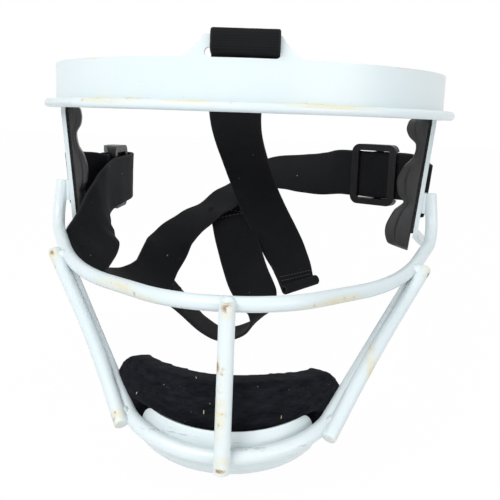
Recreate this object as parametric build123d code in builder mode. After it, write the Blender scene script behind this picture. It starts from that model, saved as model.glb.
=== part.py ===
"""Wire face guard for softball fielders: steel band and cage, foam pads, elastic head straps.

Frame: millimetres, +Z up, the wearer looks along -Y, +X is the viewer's right.
The origin is the middle of the head at the height of the band's lower edge.
"""
from build123d import *
from math import cos, radians, sin, sqrt, tan
import os

# Steel: coated wire and formed sheet
wire_diameter = 5.4
set_down = 0.7
sheet_thickness = 1.8
overrun = 4.0

# Forehead band: a half hoop with straight tails, a rolled lip and a slotted tab
band_radius = 90.0
band_height = 19.2
band_tail = 9.0
lip_reach = 5.2
lip_height = 3.8
lip_round = 1.8
lip_fillet = 1.7
web_width = 25.0
tab_base_spare = 9.0
tab_waist_spare = 3.5
tab_top_spare = 1.5
tab_base_width = web_width + 2 * tab_base_spare
tab_waist_width = web_width + 2 * tab_waist_spare
tab_top_width = web_width + 2 * tab_top_spare
tab_waist_rise = 5.3
tab_rise = 8.0
tab_corner = 3.0
tab_slot_clear = 1.25
tab_slot_width = web_width + 2 * tab_slot_clear
tab_slot_height = 3.4
tab_bar_height = 4.6

# Side plates: leaning strips inside the band's ends, with a slot for the webbing
plate_width = 24.0
plate_angle = 78.0
plate_top = 16.5
plate_kink_drop = 2.0
plate_drop = 52.0
plate_lean = 5.5
plate_foot = 5.4
plate_foot_flare = 46.0
plate_slot_clear = 1.75
plate_slot_height = web_width + 2 * plate_slot_clear
plate_slot_width = 3.4
plate_slot_margin = 3.4
plate_slot_drop = 33.0
plate_corner = 2.0

# Mouth bar: a level hoop whose ends turn up along the side plates
mouth_drop = 60.3
leg_top_drop = 32.5
leg_top_setback = 8.4
leg_corner_setback = 10.6
leg_corner_spread = 4.4
leg_corner_drop = 53.0
cheek_half = 64.3
cheek_front = 80.7
cheek_drop = 62.8
nose_front = 148.8
leg_radius = 13.5
cheek_radius = 128.0
nose_radius = 41.0

# Chin bar: a loop that hangs from the mouth bar and rounds the chin
jaw_lap_share = 0.175
chin_corner_half = 34.6
chin_corner_front = 116.5
chin_corner_drop = 105.8
chin_apex_front = 162.9
chin_apex_drop = 118.7
chin_corner_radius = 12.0
chin_front_radius = 40.0
jaw_overlap = 1.5

# Front rods lapped over both bars
centre_rod_over = 1.2
centre_rod_foot = 4.2
side_lap_share = 0.186
side_chin_lap_share = 0.325
side_rod_over = 4.5
side_rod_foot = 5.5
rod_end_round = 0.6

# Chin plate: a formed cup wall behind the chin bar, as reach from its axis and
# height over the line where it meets the bar
chin_plate_reach = (33.6, 35.2, 36.15, 36.6, 36.4, 35.2, 33.0)
chin_plate_level = (5.9, 2.8, 0.0, -2.6, -5.4, -8.2, -10.8)
chin_plate_half_angle = 57.0
chin_plate_corner = 4.0
chin_plate_tilt = 8.0
chin_plate_seat = 0.1

# Weld fillets
weld_radius = 3.0
seam_radius = 1.3
seam_length = 9.0

# Foam pads and their hook tapes
tape_thickness = 1.2
tape_margin = 1.0
forehead_pad_thickness = 8.0
forehead_pad_bottom = 1.5
forehead_pad_top = 17.0
forehead_pad_half_angle = 62.0
forehead_pad_crown = 1.6
side_pad_level = (2.5, 0.8, -3.5, -7.5, -11, -17, -21, -27, -33.5, -37.5, -42, -49.5, -56.5, -59.4)
side_pad_depth = (3, 8, 9.6, 8, 4.4, 4.8, 8, 10, 8.5, 5.5, 9.5, 11.8, 9.5, 3.5)
left_pad_share = 0.58
side_pad_width = 15.5
side_pad_setback = 11.0
side_pad_round = 4.0
chin_pad_back = 82.0
chin_pad_radius = 43.5
chin_pad_belly = 46.0
chin_pad_chin = 38.5
chin_pad_thickness = 8.0
chin_pad_top_drop = 86.5
chin_pad_belly_drop = 103.0
chin_pad_low_drop = 120.0
chin_pad_half_angle = 62.0
chin_pad_corner = 11.0
chin_pad_crown = 1.5
chin_pad_dip = 5.0
chin_pad_dip_half = 36.0

# Elastic webbing; its width heads the sizes of the tab
web_thickness = 1.5
wrap_radius = 1.9
return_spread = 4.0
tab_wrap_clear = 1.3
crown_shift = 1.0
crown_lead_shares = (0.844, 0.644)
crown_lead_side = (0.2, -1.5)
crown_lead_level = (25.0, 19.5)
tab_return_shares = (0.667, 0.744, 0.844, 0.944)
tab_return_side = (-0.6, -0.1, 0.6, 1.0)
tab_return_level = (18.2, 19.1, 19.8, 20.4)
hem_radius = 2.2
hem_angle = 290.0
hem_steps = 8

# Slide adjusters: end bars inside the running strap, the centre bar outside it
adjuster_length = 27.0
adjuster_rail = 3.4
adjuster_side_clear = 0.6
adjuster_height = web_width + 2 * (adjuster_rail + adjuster_side_clear)
adjuster_bar = 4.2
adjuster_bar_depth = 2.2
adjuster_clear = 0.35
adjuster_shoulder = 5.0
adjuster_end_depth = 0.9
adjuster_corner = 4.6
adjuster_travel = 5.0
tail_length = 9.0
tail_gap = 7.0
straight_margin = 2.5

# Strap routes, each station a position and a width direction; the positions
# are shares of the band radius
right_adjuster_share = (0.761, 0.556, -0.337)
left_adjuster_share = (-0.811, 0.411, -0.392)
right_adjuster_heading = (-0.81, 0.58)
left_adjuster_heading = (0.03, 1.0)
right_run_shares = (
    ((0.932, 0.06, -0.37), (0.1, 0, 1)),
    ((0.946, 0.19, -0.363), (0.1, 0, 1)),
    ((0.950, 0.32, -0.352), (0.03, 0, 1)),
)
left_run_shares = (
    ((-0.895, 0.03, -0.372), (-0.1, 0, 1)),
    ((-0.862, 0.105, -0.378), (-0.05, 0, 1)),
)
rear_route_shares = (
    ((0.461, 0.811, -0.359), (0, 0.35, 0.93)),
    ((0.363, 0.900, -0.367), (0, 0.55, 0.83)),
    ((0.244, 0.983, -0.369), (0, 0.68, 0.73)),
    ((0.128, 1.039, -0.378), (0, 0.74, 0.67)),
    ((0.011, 1.050, -0.422), (-0.03, 0.84, 0.54)),
    ((-0.089, 1.022, -0.489), (-0.08, 0.92, 0.38)),
    ((-0.178, 0.978, -0.561), (-0.2, 0.85, 0.48)),
    ((-0.278, 0.917, -0.633), (-0.15, 0.92, 0.35)),
    ((-0.389, 0.833, -0.706), (-0.25, 0.85, 0.45)),
    ((-0.489, 0.733, -0.794), (-0.35, 0.75, 0.56)),
    ((-0.550, 0.589, -0.906), (-0.45, 0.4, 0.8)),
    ((-0.584, 0.411, -0.999), (-0.6, 0.3, 0.74)),
    ((-0.607, 0.289, -1.004), (-0.7, 0.25, 0.66)),
    ((-0.644, 0.144, -0.986), (-0.8, 0.2, 0.56)),
    ((-0.693, -0.011, -0.941), (-0.85, 0.2, 0.5)),
    ((-0.750, -0.156, -0.890), (-0.85, 0.2, 0.5)),
    ((-0.800, -0.278, -0.833), (-0.8, 0.2, 0.55)),
    ((-0.822, -0.350, -0.769), (-0.7, 0.3, 0.62)),
    ((-0.780, -0.380, -0.700), (-0.7, 0.1, 0.7)),
    ((-0.745, -0.356, -0.622), (-0.6, -0.15, 0.75)),
    ((-0.745, -0.278, -0.548), (-0.42, -0.4, 0.77)),
    ((-0.752, -0.167, -0.483), (-0.15, -0.6, 0.75)),
    ((-0.760, -0.033, -0.438), (0, -0.6, 0.8)),
    ((-0.760, 0.111, -0.413), (0, -0.3, 0.95)),
    ((-0.759, 0.267, -0.409), (0, -0.1, 1)),
    ((-0.759, 0.411, -0.408), (0, 0, 1)),
    ((-0.758, 0.622, -0.404), (0, 0, 1)),
    ((-0.765, 0.669, -0.402), (0, 0, 1)),
    ((-0.782, 0.689, -0.400), (0, 0, 1)),
    ((-0.799, 0.674, -0.398), (0, 0, 1)),
)
ponytail_route_shares = (
    ((-0.172, 0.943, -0.562), (0.55, 0.75, 0.36)),
    ((-0.139, 0.889, -0.667), (0.9, 0.35, 0.26)),
    ((-0.094, 0.811, -0.800), (0.96, 0.12, 0.24)),
    ((-0.044, 0.711, -0.933), (0.96, 0.05, 0.25)),
    ((0.011, 0.633, -1.056), (0.95, 0.1, 0.25)),
    ((0.067, 0.594, -1.144), (0.85, 0.45, 0.25)),
    ((0.094, 0.589, -1.228), (0.6, 0.77, 0.15)),
    ((0.061, 0.600, -1.311), (0.3, 0.95, 0.08)),
    ((-0.028, 0.611, -1.381), (0.05, 1, 0)),
    ((-0.150, 0.611, -1.409), (0, 1, 0)),
    ((-0.267, 0.589, -1.350), (-0.05, 0.98, 0.1)),
    ((-0.367, 0.556, -1.244), (-0.12, 0.93, 0.3)),
    ((-0.456, 0.517, -1.142), (-0.3, 0.75, 0.57)),
    ((-0.544, 0.483, -1.051), (-0.48, 0.3, 0.82)),
)
crown_route_shares = (
    ((-0.050, -0.333, 0.120), (1, 0, 0.02)),
    ((-0.076, -0.027, 0.009), (1, 0, 0.06)),
    ((-0.076, 0.278, -0.117), (1, 0, 0.1)),
    ((-0.050, 0.556, -0.250), (0.99, 0, 0.15)),
    ((-0.013, 0.733, -0.378), (0.97, 0, 0.24)),
    ((0.039, 0.822, -0.522), (0.93, 0.05, 0.35)),
    ((0.117, 0.850, -0.678), (0.88, 0.12, 0.46)),
    ((0.206, 0.828, -0.833), (0.84, 0.25, 0.48)),
    ((0.278, 0.789, -0.967), (0.8, 0.5, 0.33)),
    ((0.314, 0.756, -1.061), (0.8, 0.58, 0.1)),
)
route_steps = 4
wrap_steps = 6

wire_radius = wire_diameter / 2
lap_distance = wire_diameter - set_down
band_inner = band_radius - sheet_thickness
web_half = web_thickness / 2
up = Vector(0, 0, 1)


def radial(turn):
    """Unit vector out from the head's axis, turned from the front towards +X."""
    return Vector(sin(radians(turn)), -cos(radians(turn)), 0)


def along(turn):
    """Unit vector round the head, towards the back on the +X side."""
    return Vector(cos(radians(turn)), sin(radians(turn)), 0)


def inset(points, distance):
    """A polyline moved to its right-hand side by a distance, with mitred corners."""
    moved = []
    for index, point in enumerate(points):
        before = Vector(*points[max(index - 1, 0)])
        after = Vector(*points[min(index + 1, len(points) - 1)])
        here = Vector(*point)
        first = (here - before).normalized() if index > 0 else (after - here).normalized()
        last = (after - here).normalized() if index < len(points) - 1 else first
        side = Vector(first.Y + last.Y, -first.X - last.X).normalized()
        reach = distance / side.dot(Vector(first.Y, -first.X))
        moved.append((here.X + side.X * reach, here.Y + side.Y * reach))
    return moved


def mirrored(solid):
    """The same piece on the other side of the face."""
    return mirror(solid, about=Plane.YZ)


# Forehead band: the section turns round the head's axis
tab_top = band_height + tab_rise
with BuildPart() as forehead_band:
    with BuildSketch(Plane.XZ) as band_section:
        with BuildLine():
            Polyline(
                (band_inner, 0),
                (band_radius + lip_reach, 0),
                (band_radius + lip_reach, lip_height),
                (band_radius, lip_height),
                (band_radius, tab_top),
                (band_inner, tab_top),
                close=True,
            )
        make_face()
        fillet(band_section.vertices().group_by(Axis.X)[-1], lip_round)
        lip_root = band_section.vertices().sort_by_distance((band_radius, 0, lip_height))[0]
        fillet(lip_root, lip_fillet)
    revolve(axis=Axis((0, 0, 0), (0, 0, -1)), revolution_arc=180)
    extrude(forehead_band.faces().filter_by(Axis.Y), amount=band_tail)
    with BuildSketch(Plane.XZ.offset(-band_radius - overrun)) as above_band:
        with Locations((0, tab_top + overrun)):
            Rectangle(2 * (band_radius + lip_reach + overrun), 2 * (tab_rise + overrun))
        with BuildLine():
            Polyline(
                (-tab_base_width / 2, band_height),
                (-tab_waist_width / 2, band_height + tab_waist_rise),
                (-tab_top_width / 2, tab_top),
                (tab_top_width / 2, tab_top),
                (tab_waist_width / 2, band_height + tab_waist_rise),
                (tab_base_width / 2, band_height),
                close=True,
            )
        make_face(mode=Mode.SUBTRACT)
        for side in (-1, 1):
            corner = above_band.vertices().sort_by_distance((side * tab_top_width / 2, 0, tab_top))[0]
            fillet(corner, tab_corner)
    extrude(amount=2 * (band_radius + overrun), mode=Mode.SUBTRACT)
    with BuildSketch(Plane.XZ.offset(band_radius / 2)):
        with Locations((0, tab_top - tab_bar_height - tab_slot_height / 2)):
            SlotOverall(tab_slot_width, tab_slot_height)
    extrude(amount=band_radius, mode=Mode.SUBTRACT)
forehead_band.part.label = "forehead_band"

# Side plates: the bent strip's section runs down the head, its width round it
side_plane = Plane(origin=(0, 0, 0), x_dir=radial(plate_angle), z_dir=-along(plate_angle))
face_plane = Plane(origin=(0, 0, 0), x_dir=along(plate_angle), z_dir=radial(plate_angle))
plate_outer = sqrt(band_inner**2 - (plate_width / 2) ** 2)
lean_slope = tan(radians(plate_lean))
plate_line = [
    (plate_outer, plate_top),
    (plate_outer, -plate_kink_drop),
    (plate_outer - lean_slope * (plate_drop - plate_kink_drop), -plate_drop),
]
foot_out = plate_foot * sin(radians(plate_foot_flare))
foot_down = plate_foot * cos(radians(plate_foot_flare))
plate_line.append((plate_line[-1][0] + foot_out, plate_line[-1][1] - foot_down))
plate_low = plate_line[-1][1]
slot_centre = plate_width / 2 - plate_slot_margin - plate_slot_width / 2
with BuildPart() as right_side_plate:
    with BuildSketch(side_plane):
        with BuildLine():
            Polyline(*plate_line, *reversed(inset(plate_line, sheet_thickness)), close=True)
        make_face()
    extrude(amount=plate_width / 2, both=True)
    with BuildSketch(face_plane):
        with Locations((0, (plate_top + plate_low) / 2)):
            RectangleRounded(plate_width, plate_top - plate_low + set_down, plate_corner)
    extrude(amount=band_radius + overrun, mode=Mode.INTERSECT)
    with BuildSketch(face_plane):
        with Locations((slot_centre, -plate_slot_drop)):
            RectangleRounded(plate_slot_width, plate_slot_height, plate_slot_width / 3)
    extrude(amount=band_radius + overrun, mode=Mode.SUBTRACT)
right_side_plate.part.label = "right_side_plate"

with BuildPart() as left_side_plate:
    add(mirrored(right_side_plate.part))
left_side_plate.part.label = "left_side_plate"

# Mouth bar: one wire from leg to leg round the face, its legs against the plates
leg_lean = lean_slope * (leg_top_drop - plate_kink_drop)
leg_reach = plate_outer - leg_lean + wire_radius / cos(radians(plate_lean))
mouth_side = [
    radial(plate_angle) * leg_reach - along(plate_angle) * leg_top_setback - up * leg_top_drop,
    radial(plate_angle) * (plate_outer + leg_corner_spread / 2)
    - along(plate_angle) * leg_corner_setback
    - up * leg_corner_drop,
    Vector(cheek_half, -cheek_front, -cheek_drop),
]
with BuildPart() as mouth_bar:
    with BuildLine() as mouth_line:
        FilletPolyline(
            *mouth_side,
            (0, -nose_front, -mouth_drop),
            *[(-point.X, point.Y, point.Z) for point in reversed(mouth_side)],
            radius=(leg_radius, cheek_radius, nose_radius, cheek_radius, leg_radius),
        )
    with BuildSketch(mouth_line.line ^ 0):
        Circle(wire_radius)
    sweep()
    fillet(mouth_bar.edges().group_by(Axis.Z)[-1], rod_end_round)
mouth_bar.part.label = "mouth_bar"
mouth_path = mouth_line.wire()

# Chin bar: its ends are coped under the mouth bar
jaw_top = mouth_path @ jaw_lap_share - Vector(0, 0, lap_distance)
chin_corner = Vector(chin_corner_half, -chin_corner_front, -chin_corner_drop)
jaw_top = jaw_top + (jaw_top - chin_corner).normalized() * jaw_overlap
with BuildPart() as chin_bar:
    with BuildLine() as chin_line:
        FilletPolyline(
            jaw_top,
            chin_corner,
            (0, -chin_apex_front, -chin_apex_drop),
            (-chin_corner.X, chin_corner.Y, chin_corner.Z),
            (-jaw_top.X, jaw_top.Y, jaw_top.Z),
            radius=(chin_corner_radius, chin_front_radius, chin_corner_radius),
        )
    with BuildSketch(chin_line.line ^ 0):
        Circle(wire_radius)
    sweep()
    add(mouth_bar.part, mode=Mode.SUBTRACT)
chin_bar.part.label = "chin_bar"
chin_path = chin_line.wire()


def lap_points(mouth_share, chin_share):
    """Where a rod's centreline passes both bars, a wire's lap outside them."""
    upper = mouth_path @ mouth_share
    lower = chin_path @ chin_share
    course = (lower - upper).normalized()
    points = []
    for path, share, point in ((mouth_path, mouth_share, upper), (chin_path, chin_share, lower)):
        outward = course.cross(path % share).normalized()
        if outward.Y > 0:
            outward = -outward
        points.append(point + outward * lap_distance)
    return points


def rod_ends(points, over, foot):
    """The laps' line carried past both bars."""
    course = (points[1] - points[0]).normalized()
    return points[0] - course * over, points[1] + course * foot


centre_laps = lap_points(0.5, 0.5)
right_laps = lap_points(side_lap_share, side_chin_lap_share)
with BuildPart() as centre_rod:
    with BuildLine() as centre_line:
        Line(*rod_ends(centre_laps, centre_rod_over, centre_rod_foot))
    with BuildSketch(centre_line.line ^ 0):
        Circle(wire_radius)
    sweep()
    fillet(centre_rod.edges().group_by(Axis.Z)[0], rod_end_round)
    fillet(centre_rod.edges().group_by(Axis.Z)[-1], rod_end_round)
    add(mouth_bar.part, mode=Mode.SUBTRACT)
    add(chin_bar.part, mode=Mode.SUBTRACT)
centre_rod.part.label = "centre_rod"

with BuildPart() as right_rod:
    with BuildLine() as right_line:
        Line(*rod_ends(right_laps, side_rod_over, side_rod_foot))
    with BuildSketch(right_line.line ^ 0):
        Circle(wire_radius)
    sweep()
    fillet(right_rod.edges().filter_by(GeomType.CIRCLE), rod_end_round)
    add(mouth_bar.part, mode=Mode.SUBTRACT)
    add(chin_bar.part, mode=Mode.SUBTRACT)
right_rod.part.label = "right_rod"

with BuildPart() as left_rod:
    add(mirrored(right_rod.part))
left_rod.part.label = "left_rod"

# Chin plate: the cup wall's section turns round an axis behind the chin bar
chin_front = Vector(0, -cos(radians(chin_plate_tilt)), -sin(radians(chin_plate_tilt)))
chin_up = Vector(0, -sin(radians(chin_plate_tilt)), cos(radians(chin_plate_tilt)))
chin_reach = max(reach for reach, level in zip(chin_plate_reach, chin_plate_level) if level >= 0)
chin_centre = chin_path @ (1 / 2) - chin_front * (chin_reach + wire_radius + chin_plate_seat)
chin_axis = Axis(chin_centre, chin_up)


def chin_plane(angle):
    """A plane through the arc's axis, turned from the front towards +X."""
    out = chin_front * cos(radians(angle)) + Vector(sin(radians(angle)), 0, 0)
    return Plane(origin=chin_centre, x_dir=out, z_dir=out.cross(chin_up))


plate_skin = list(zip(chin_plate_reach, chin_plate_level))
plate_back = inset(plate_skin, sheet_thickness)
tape_back = inset(plate_skin, sheet_thickness + tape_thickness)
with BuildPart() as chin_plate:
    with BuildSketch(chin_plane(-chin_plate_half_angle)):
        with BuildLine():
            Spline(*plate_skin)
            Line(plate_skin[-1], plate_back[-1])
            Spline(*plate_back)
            Line(plate_back[0], plate_skin[0])
        make_face()
    revolve(axis=chin_axis, revolution_arc=2 * chin_plate_half_angle)
    wall_edges = chin_plate.edges().filter_by(lambda e: abs(e.length - sheet_thickness) < set_down / 10)
    fillet(wall_edges, chin_plate_corner)
chin_plate.part.label = "chin_plate"

# Weld beads: saddles at the laps, seams beside the legs and the plates' top ends
jaw_lap = mouth_path @ jaw_lap_share - Vector(0, 0, lap_distance)
bar_spots = [
    (centre_laps[0], mouth_path @ (1 / 2)),
    (centre_laps[1], chin_path @ (1 / 2)),
    (right_laps[0], mouth_path @ side_lap_share),
    (right_laps[1], chin_path @ side_chin_lap_share),
    (jaw_lap, mouth_path @ jaw_lap_share),
]
lap_spots = [(first + second) / 2 for first, second in bar_spots]
lap_spots += [Vector(-spot.X, spot.Y, spot.Z) for spot in lap_spots[2:]]
seam_spots = []
for shift in (-1, 1):
    across = along(plate_angle) * shift
    leg_seat = mouth_path @ 0 - radial(plate_angle) * wire_radius + across * seam_radius
    plate_edge = radial(plate_angle) * plate_outer + across * plate_width / 2
    seam_spots.append(leg_seat - up * seam_length)
    seam_spots.append(plate_edge + up * lip_height)
seam_spots += [Vector(-spot.X, spot.Y, spot.Z) for spot in seam_spots]
with BuildPart() as weld_beads:
    with Locations(*lap_spots):
        Sphere(weld_radius)
    with Locations(*seam_spots):
        Cylinder(seam_radius, seam_length, align=(Align.CENTER, Align.CENTER, Align.MIN))
    for steel in (
        forehead_band,
        right_side_plate,
        left_side_plate,
        mouth_bar,
        chin_bar,
        centre_rod,
        right_rod,
        left_rod,
    ):
        add(steel.part, mode=Mode.SUBTRACT)
weld_beads.part.label = "weld_beads"

# Forehead pad: a crowned foam strip inside the band, on its hook tape
pad_back = band_inner - tape_thickness
pad_face = pad_back - forehead_pad_thickness


def ring_plane(angle):
    """A plane through the head's axis, turned from the front towards +X."""
    return Plane(origin=(0, 0, 0), x_dir=radial(angle), z_dir=-along(angle))


with BuildPart() as forehead_pad:
    with BuildSketch(ring_plane(forehead_pad_half_angle)):
        with BuildLine():
            Polyline(
                (pad_face, forehead_pad_top),
                (pad_back, forehead_pad_top),
                (pad_back, forehead_pad_bottom),
                (pad_face, forehead_pad_bottom),
            )
            ThreePointArc(
                (pad_face, forehead_pad_bottom),
                (pad_face - forehead_pad_crown, (forehead_pad_bottom + forehead_pad_top) / 2),
                (pad_face, forehead_pad_top),
            )
        make_face()
    revolve(axis=Axis((0, 0, 0), (0, 0, -1)), revolution_arc=2 * forehead_pad_half_angle)
forehead_pad.part.label = "forehead_pad"

with BuildPart() as forehead_hook_tape:
    with BuildSketch(ring_plane(forehead_pad_half_angle - tape_margin)):
        with BuildLine():
            Polyline(
                (pad_back, forehead_pad_bottom + tape_margin),
                (band_inner, forehead_pad_bottom + tape_margin),
                (band_inner, forehead_pad_top - tape_margin),
                (pad_back, forehead_pad_top - tape_margin),
                close=True,
            )
        make_face()
    revolve(
        axis=Axis((0, 0, 0), (0, 0, -1)),
        revolution_arc=2 * (forehead_pad_half_angle - tape_margin),
    )
forehead_hook_tape.part.label = "forehead_hook_tape"


def plate_reach(level, depth):
    """Distance from the head's axis of a line inside the plate's skin, at a height."""
    drop = max(0, -plate_kink_drop - level)
    return plate_outer - lean_slope * drop - depth / cos(radians(plate_lean))


# Side pads: ribbed foam strips on hook tape inside the plates
side_strip = side_plane.offset(side_pad_setback - side_pad_width)
tape_levels = (side_pad_level[0] - tape_margin, -plate_kink_drop, -plate_drop + tape_margin)
tape_depth = sheet_thickness + tape_thickness
with BuildPart() as right_hook_tape:
    with BuildSketch(side_strip.offset(tape_margin)):
        with BuildLine():
            Polyline(
                *[(plate_reach(z, sheet_thickness), z) for z in tape_levels],
                *[(plate_reach(z, tape_depth), z) for z in reversed(tape_levels)],
                close=True,
            )
        make_face()
    extrude(amount=side_pad_width - 2 * tape_margin)
right_hook_tape.part.label = "right_hook_tape"

with BuildPart() as left_hook_tape:
    add(mirrored(right_hook_tape.part))
left_hook_tape.part.label = "left_hook_tape"

pad_spine = (side_pad_level[0], -plate_kink_drop, side_pad_level[-1])
side_pad_mid = (side_pad_level[0] + side_pad_level[-1]) / 2
side_pad_height = side_pad_level[0] - side_pad_level[-1]
pad_forms = []
for depth_share in (1, left_pad_share):
    pad_ribs = [
        (plate_reach(level, tape_depth + depth * depth_share), level)
        for level, depth in zip(side_pad_level, side_pad_depth)
    ]
    with BuildPart() as pad_form:
        with BuildSketch(side_strip):
            with BuildLine():
                Polyline(
                    pad_ribs[0],
                    *[(plate_reach(level, tape_depth), level) for level in pad_spine],
                    pad_ribs[-1],
                )
                Spline(*reversed(pad_ribs))
            make_face()
        extrude(amount=side_pad_width)
        with BuildSketch(face_plane):
            with Locations((side_pad_width / 2 - side_pad_setback, side_pad_mid)):
                RectangleRounded(side_pad_width, side_pad_height, side_pad_round)
        extrude(amount=band_radius, mode=Mode.INTERSECT)
    pad_forms.append(pad_form.part)

with BuildPart() as right_side_pad:
    add(pad_forms[0])
right_side_pad.part.label = "right_side_pad"

with BuildPart() as left_side_pad:
    add(mirrored(pad_forms[1]))
left_side_pad.part.label = "left_side_pad"

# Chin pad: a crowned foam cup that takes the plate's form where the tape holds it
with BuildPart() as chin_hook_tape:
    with BuildSketch(chin_plane(tape_margin * 2 - chin_plate_half_angle)):
        with BuildLine():
            Spline(*plate_back)
            Line(plate_back[-1], tape_back[-1])
            Spline(*tape_back)
            Line(tape_back[0], plate_back[0])
        make_face()
    revolve(axis=chin_axis, revolution_arc=2 * chin_plate_half_angle - tape_margin * 4)
chin_hook_tape.part.label = "chin_hook_tape"

rim_out = (Vector(*plate_skin[0]) - Vector(*tape_back[0])) * chin_pad_thickness
recess_top = Vector(*tape_back[0]) + rim_out
recess_low = tape_back[-1][1] - chin_pad_thickness
with BuildPart() as chin_recess:
    with BuildSketch(chin_plane(-chin_pad_half_angle)):
        with BuildLine():
            Spline(*tape_back)
            Polyline(
                tape_back[-1],
                (tape_back[-1][0], recess_low),
                (recess_top.X, recess_low),
                (recess_top.X, recess_top.Y),
                tape_back[0],
            )
        make_face()
    revolve(axis=chin_axis, revolution_arc=2 * chin_pad_half_angle)

pad_axis = Axis((0, -chin_pad_back, 0), (0, 0, -1))
pad_start = Plane(
    origin=(0, -chin_pad_back, 0),
    x_dir=radial(chin_pad_half_angle),
    z_dir=-along(chin_pad_half_angle),
)
pad_shell = (
    (chin_pad_radius, -chin_pad_top_drop),
    (chin_pad_belly, -chin_pad_belly_drop),
    (chin_pad_chin, -chin_pad_low_drop),
)
pad_inside = (
    (chin_pad_chin - chin_pad_thickness, -chin_pad_low_drop),
    (chin_pad_belly - chin_pad_thickness - chin_pad_crown, -chin_pad_belly_drop),
    (chin_pad_radius - chin_pad_thickness, -chin_pad_top_drop),
)
dip_radius = (chin_pad_dip_half**2 + chin_pad_dip**2) / (2 * chin_pad_dip)
dip_centre = Vector(0, -chin_pad_back, dip_radius - chin_pad_dip - chin_pad_top_drop)
with BuildPart() as chin_pad:
    with BuildSketch(pad_start):
        with BuildLine():
            Spline(*pad_shell)
            Line(pad_shell[-1], pad_inside[0])
            Spline(*pad_inside)
            Line(pad_inside[-1], pad_shell[0])
        make_face()
    revolve(axis=pad_axis, revolution_arc=2 * chin_pad_half_angle)
    pad_ends = chin_pad.faces().filter_by(GeomType.PLANE).filter_by(
        lambda face: abs(face.normal_at().Z) < set_down
    )
    fillet([e for f in pad_ends for e in f.edges().filter_by(GeomType.LINE)], chin_pad_corner)
    with BuildSketch(Plane(origin=dip_centre, z_dir=(0, 1, 0))):
        Circle(dip_radius)
    extrude(amount=2 * chin_pad_belly, both=True, mode=Mode.SUBTRACT)
    add(chin_recess.part, mode=Mode.SUBTRACT)
    add(chin_bar.part, mode=Mode.SUBTRACT)
chin_pad.part.label = "chin_pad"


# Webbing: a flat ribbon lofted through its stations
def place(share):
    """A position given as shares of the band radius."""
    return Vector(*share) * band_radius


def stations(table):
    """A route table as positions and width directions."""
    return [(place(position), Vector(*width).normalized()) for position, width in table]


def smooth(route, steps):
    """A curve through the stations, with its width directions turned along."""
    spots = [position for position, width in route]
    gaps = [(second - first).length for first, second in zip(spots, spots[1:])]
    slopes = [(second - first) / gap for first, second, gap in zip(spots, spots[1:], gaps)]
    courses = [slopes[0]]
    for index in range(1, len(slopes)):
        before, after = gaps[index - 1], gaps[index]
        courses.append((slopes[index - 1] * after + slopes[index] * before) / (before + after))
    courses.append(slopes[-1])
    points = []
    for index, gap in enumerate(gaps):
        (start, start_width), (end, end_width) = route[index], route[index + 1]
        for step in range(steps):
            t = step / steps
            position = (
                start * (2 * t**3 - 3 * t**2 + 1)
                + courses[index] * gap * (t**3 - 2 * t**2 + t)
                + end * (3 * t**2 - 2 * t**3)
                + courses[index + 1] * gap * (t**3 - t**2)
            )
            points.append((position, (start_width * (1 - t) + end_width * t).normalized()))
    points.append(route[-1])
    return points


def cross_planes(route):
    """The webbing's cross-section planes along a dense route."""
    planes = []
    for index, (position, width) in enumerate(route):
        before = route[max(index - 1, 0)][0]
        after = route[min(index + 1, len(route) - 1)][0]
        course = (after - before).normalized()
        across = (width - course * width.dot(course)).normalized()
        planes.append(Plane(origin=position, x_dir=across, z_dir=course))
    return planes


# The webbing's turn round each side plate's rear bar
lean_up = radial(plate_angle) * sin(radians(plate_lean)) + Vector(0, 0, cos(radians(plate_lean)))
lean_out = radial(plate_angle) * cos(radians(plate_lean)) - Vector(0, 0, sin(radians(plate_lean)))
plate_mid = plate_reach(-plate_slot_drop, sheet_thickness / 2)
wrap_centre = slot_centre + wrap_radius


def wrap_point(distance, angle):
    """A point beside the rear bar: distance round the head, angle from outside."""
    base = radial(plate_angle) * plate_mid - Vector(0, 0, plate_slot_drop)
    reach = distance - wrap_radius * sin(radians(angle))
    return base + along(plate_angle) * reach + lean_out * wrap_radius * cos(radians(angle))


wrap_exit = plate_width / 2 + wrap_radius
right_wrap = [(wrap_point(wrap_exit, 0), lean_up)]
for step in range(wrap_steps + 1):
    right_wrap.append((wrap_point(wrap_centre, 180 * step / wrap_steps), lean_up))
right_wrap.append((wrap_point(wrap_exit, 180), lean_up))
left_wrap = [
    (Vector(-point.X, point.Y, point.Z), Vector(-width.X, width.Y, width.Z))
    for point, width in reversed(right_wrap)
]


def adjuster_plane(share, heading, side):
    """The adjuster's frame: x towards the slot, y away from the head."""
    course = Vector(-heading[0], -heading[1], 0)
    return Plane(origin=place(share), x_dir=course, z_dir=(0, 0, side))


right_slide = adjuster_plane(right_adjuster_share, right_adjuster_heading, 1)
left_slide = adjuster_plane(left_adjuster_share, left_adjuster_heading, -1)
straight_half = adjuster_length / 2 + adjuster_travel


def beside(plane, forward, out):
    """A station in an adjuster's frame."""
    return plane.from_local_coords(Vector(forward, out, 0)), up


def through(plane, way):
    """The straight stretch of webbing inside an adjuster."""
    reaches = (straight_half + straight_margin, straight_half - straight_margin, 0)
    stretch = [*reaches, -reaches[1], -reaches[0]]
    return [beside(plane, way * reach, 0) for reach in stretch]


def returned(run, slide, side):
    """The outer layer of an anchor loop, spread from the inner one."""
    spread = []
    for index, (position, width) in enumerate(run):
        before = run[max(index - 1, 0)][0]
        after = run[min(index + 1, len(run) - 1)][0]
        out = (after - before).cross(width).normalized()
        if out.X * side < 0:
            out = -out
        spread.append((position + out * return_spread, width))
    spread.append(beside(slide, tail_length + tail_gap, return_spread))
    return spread


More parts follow.
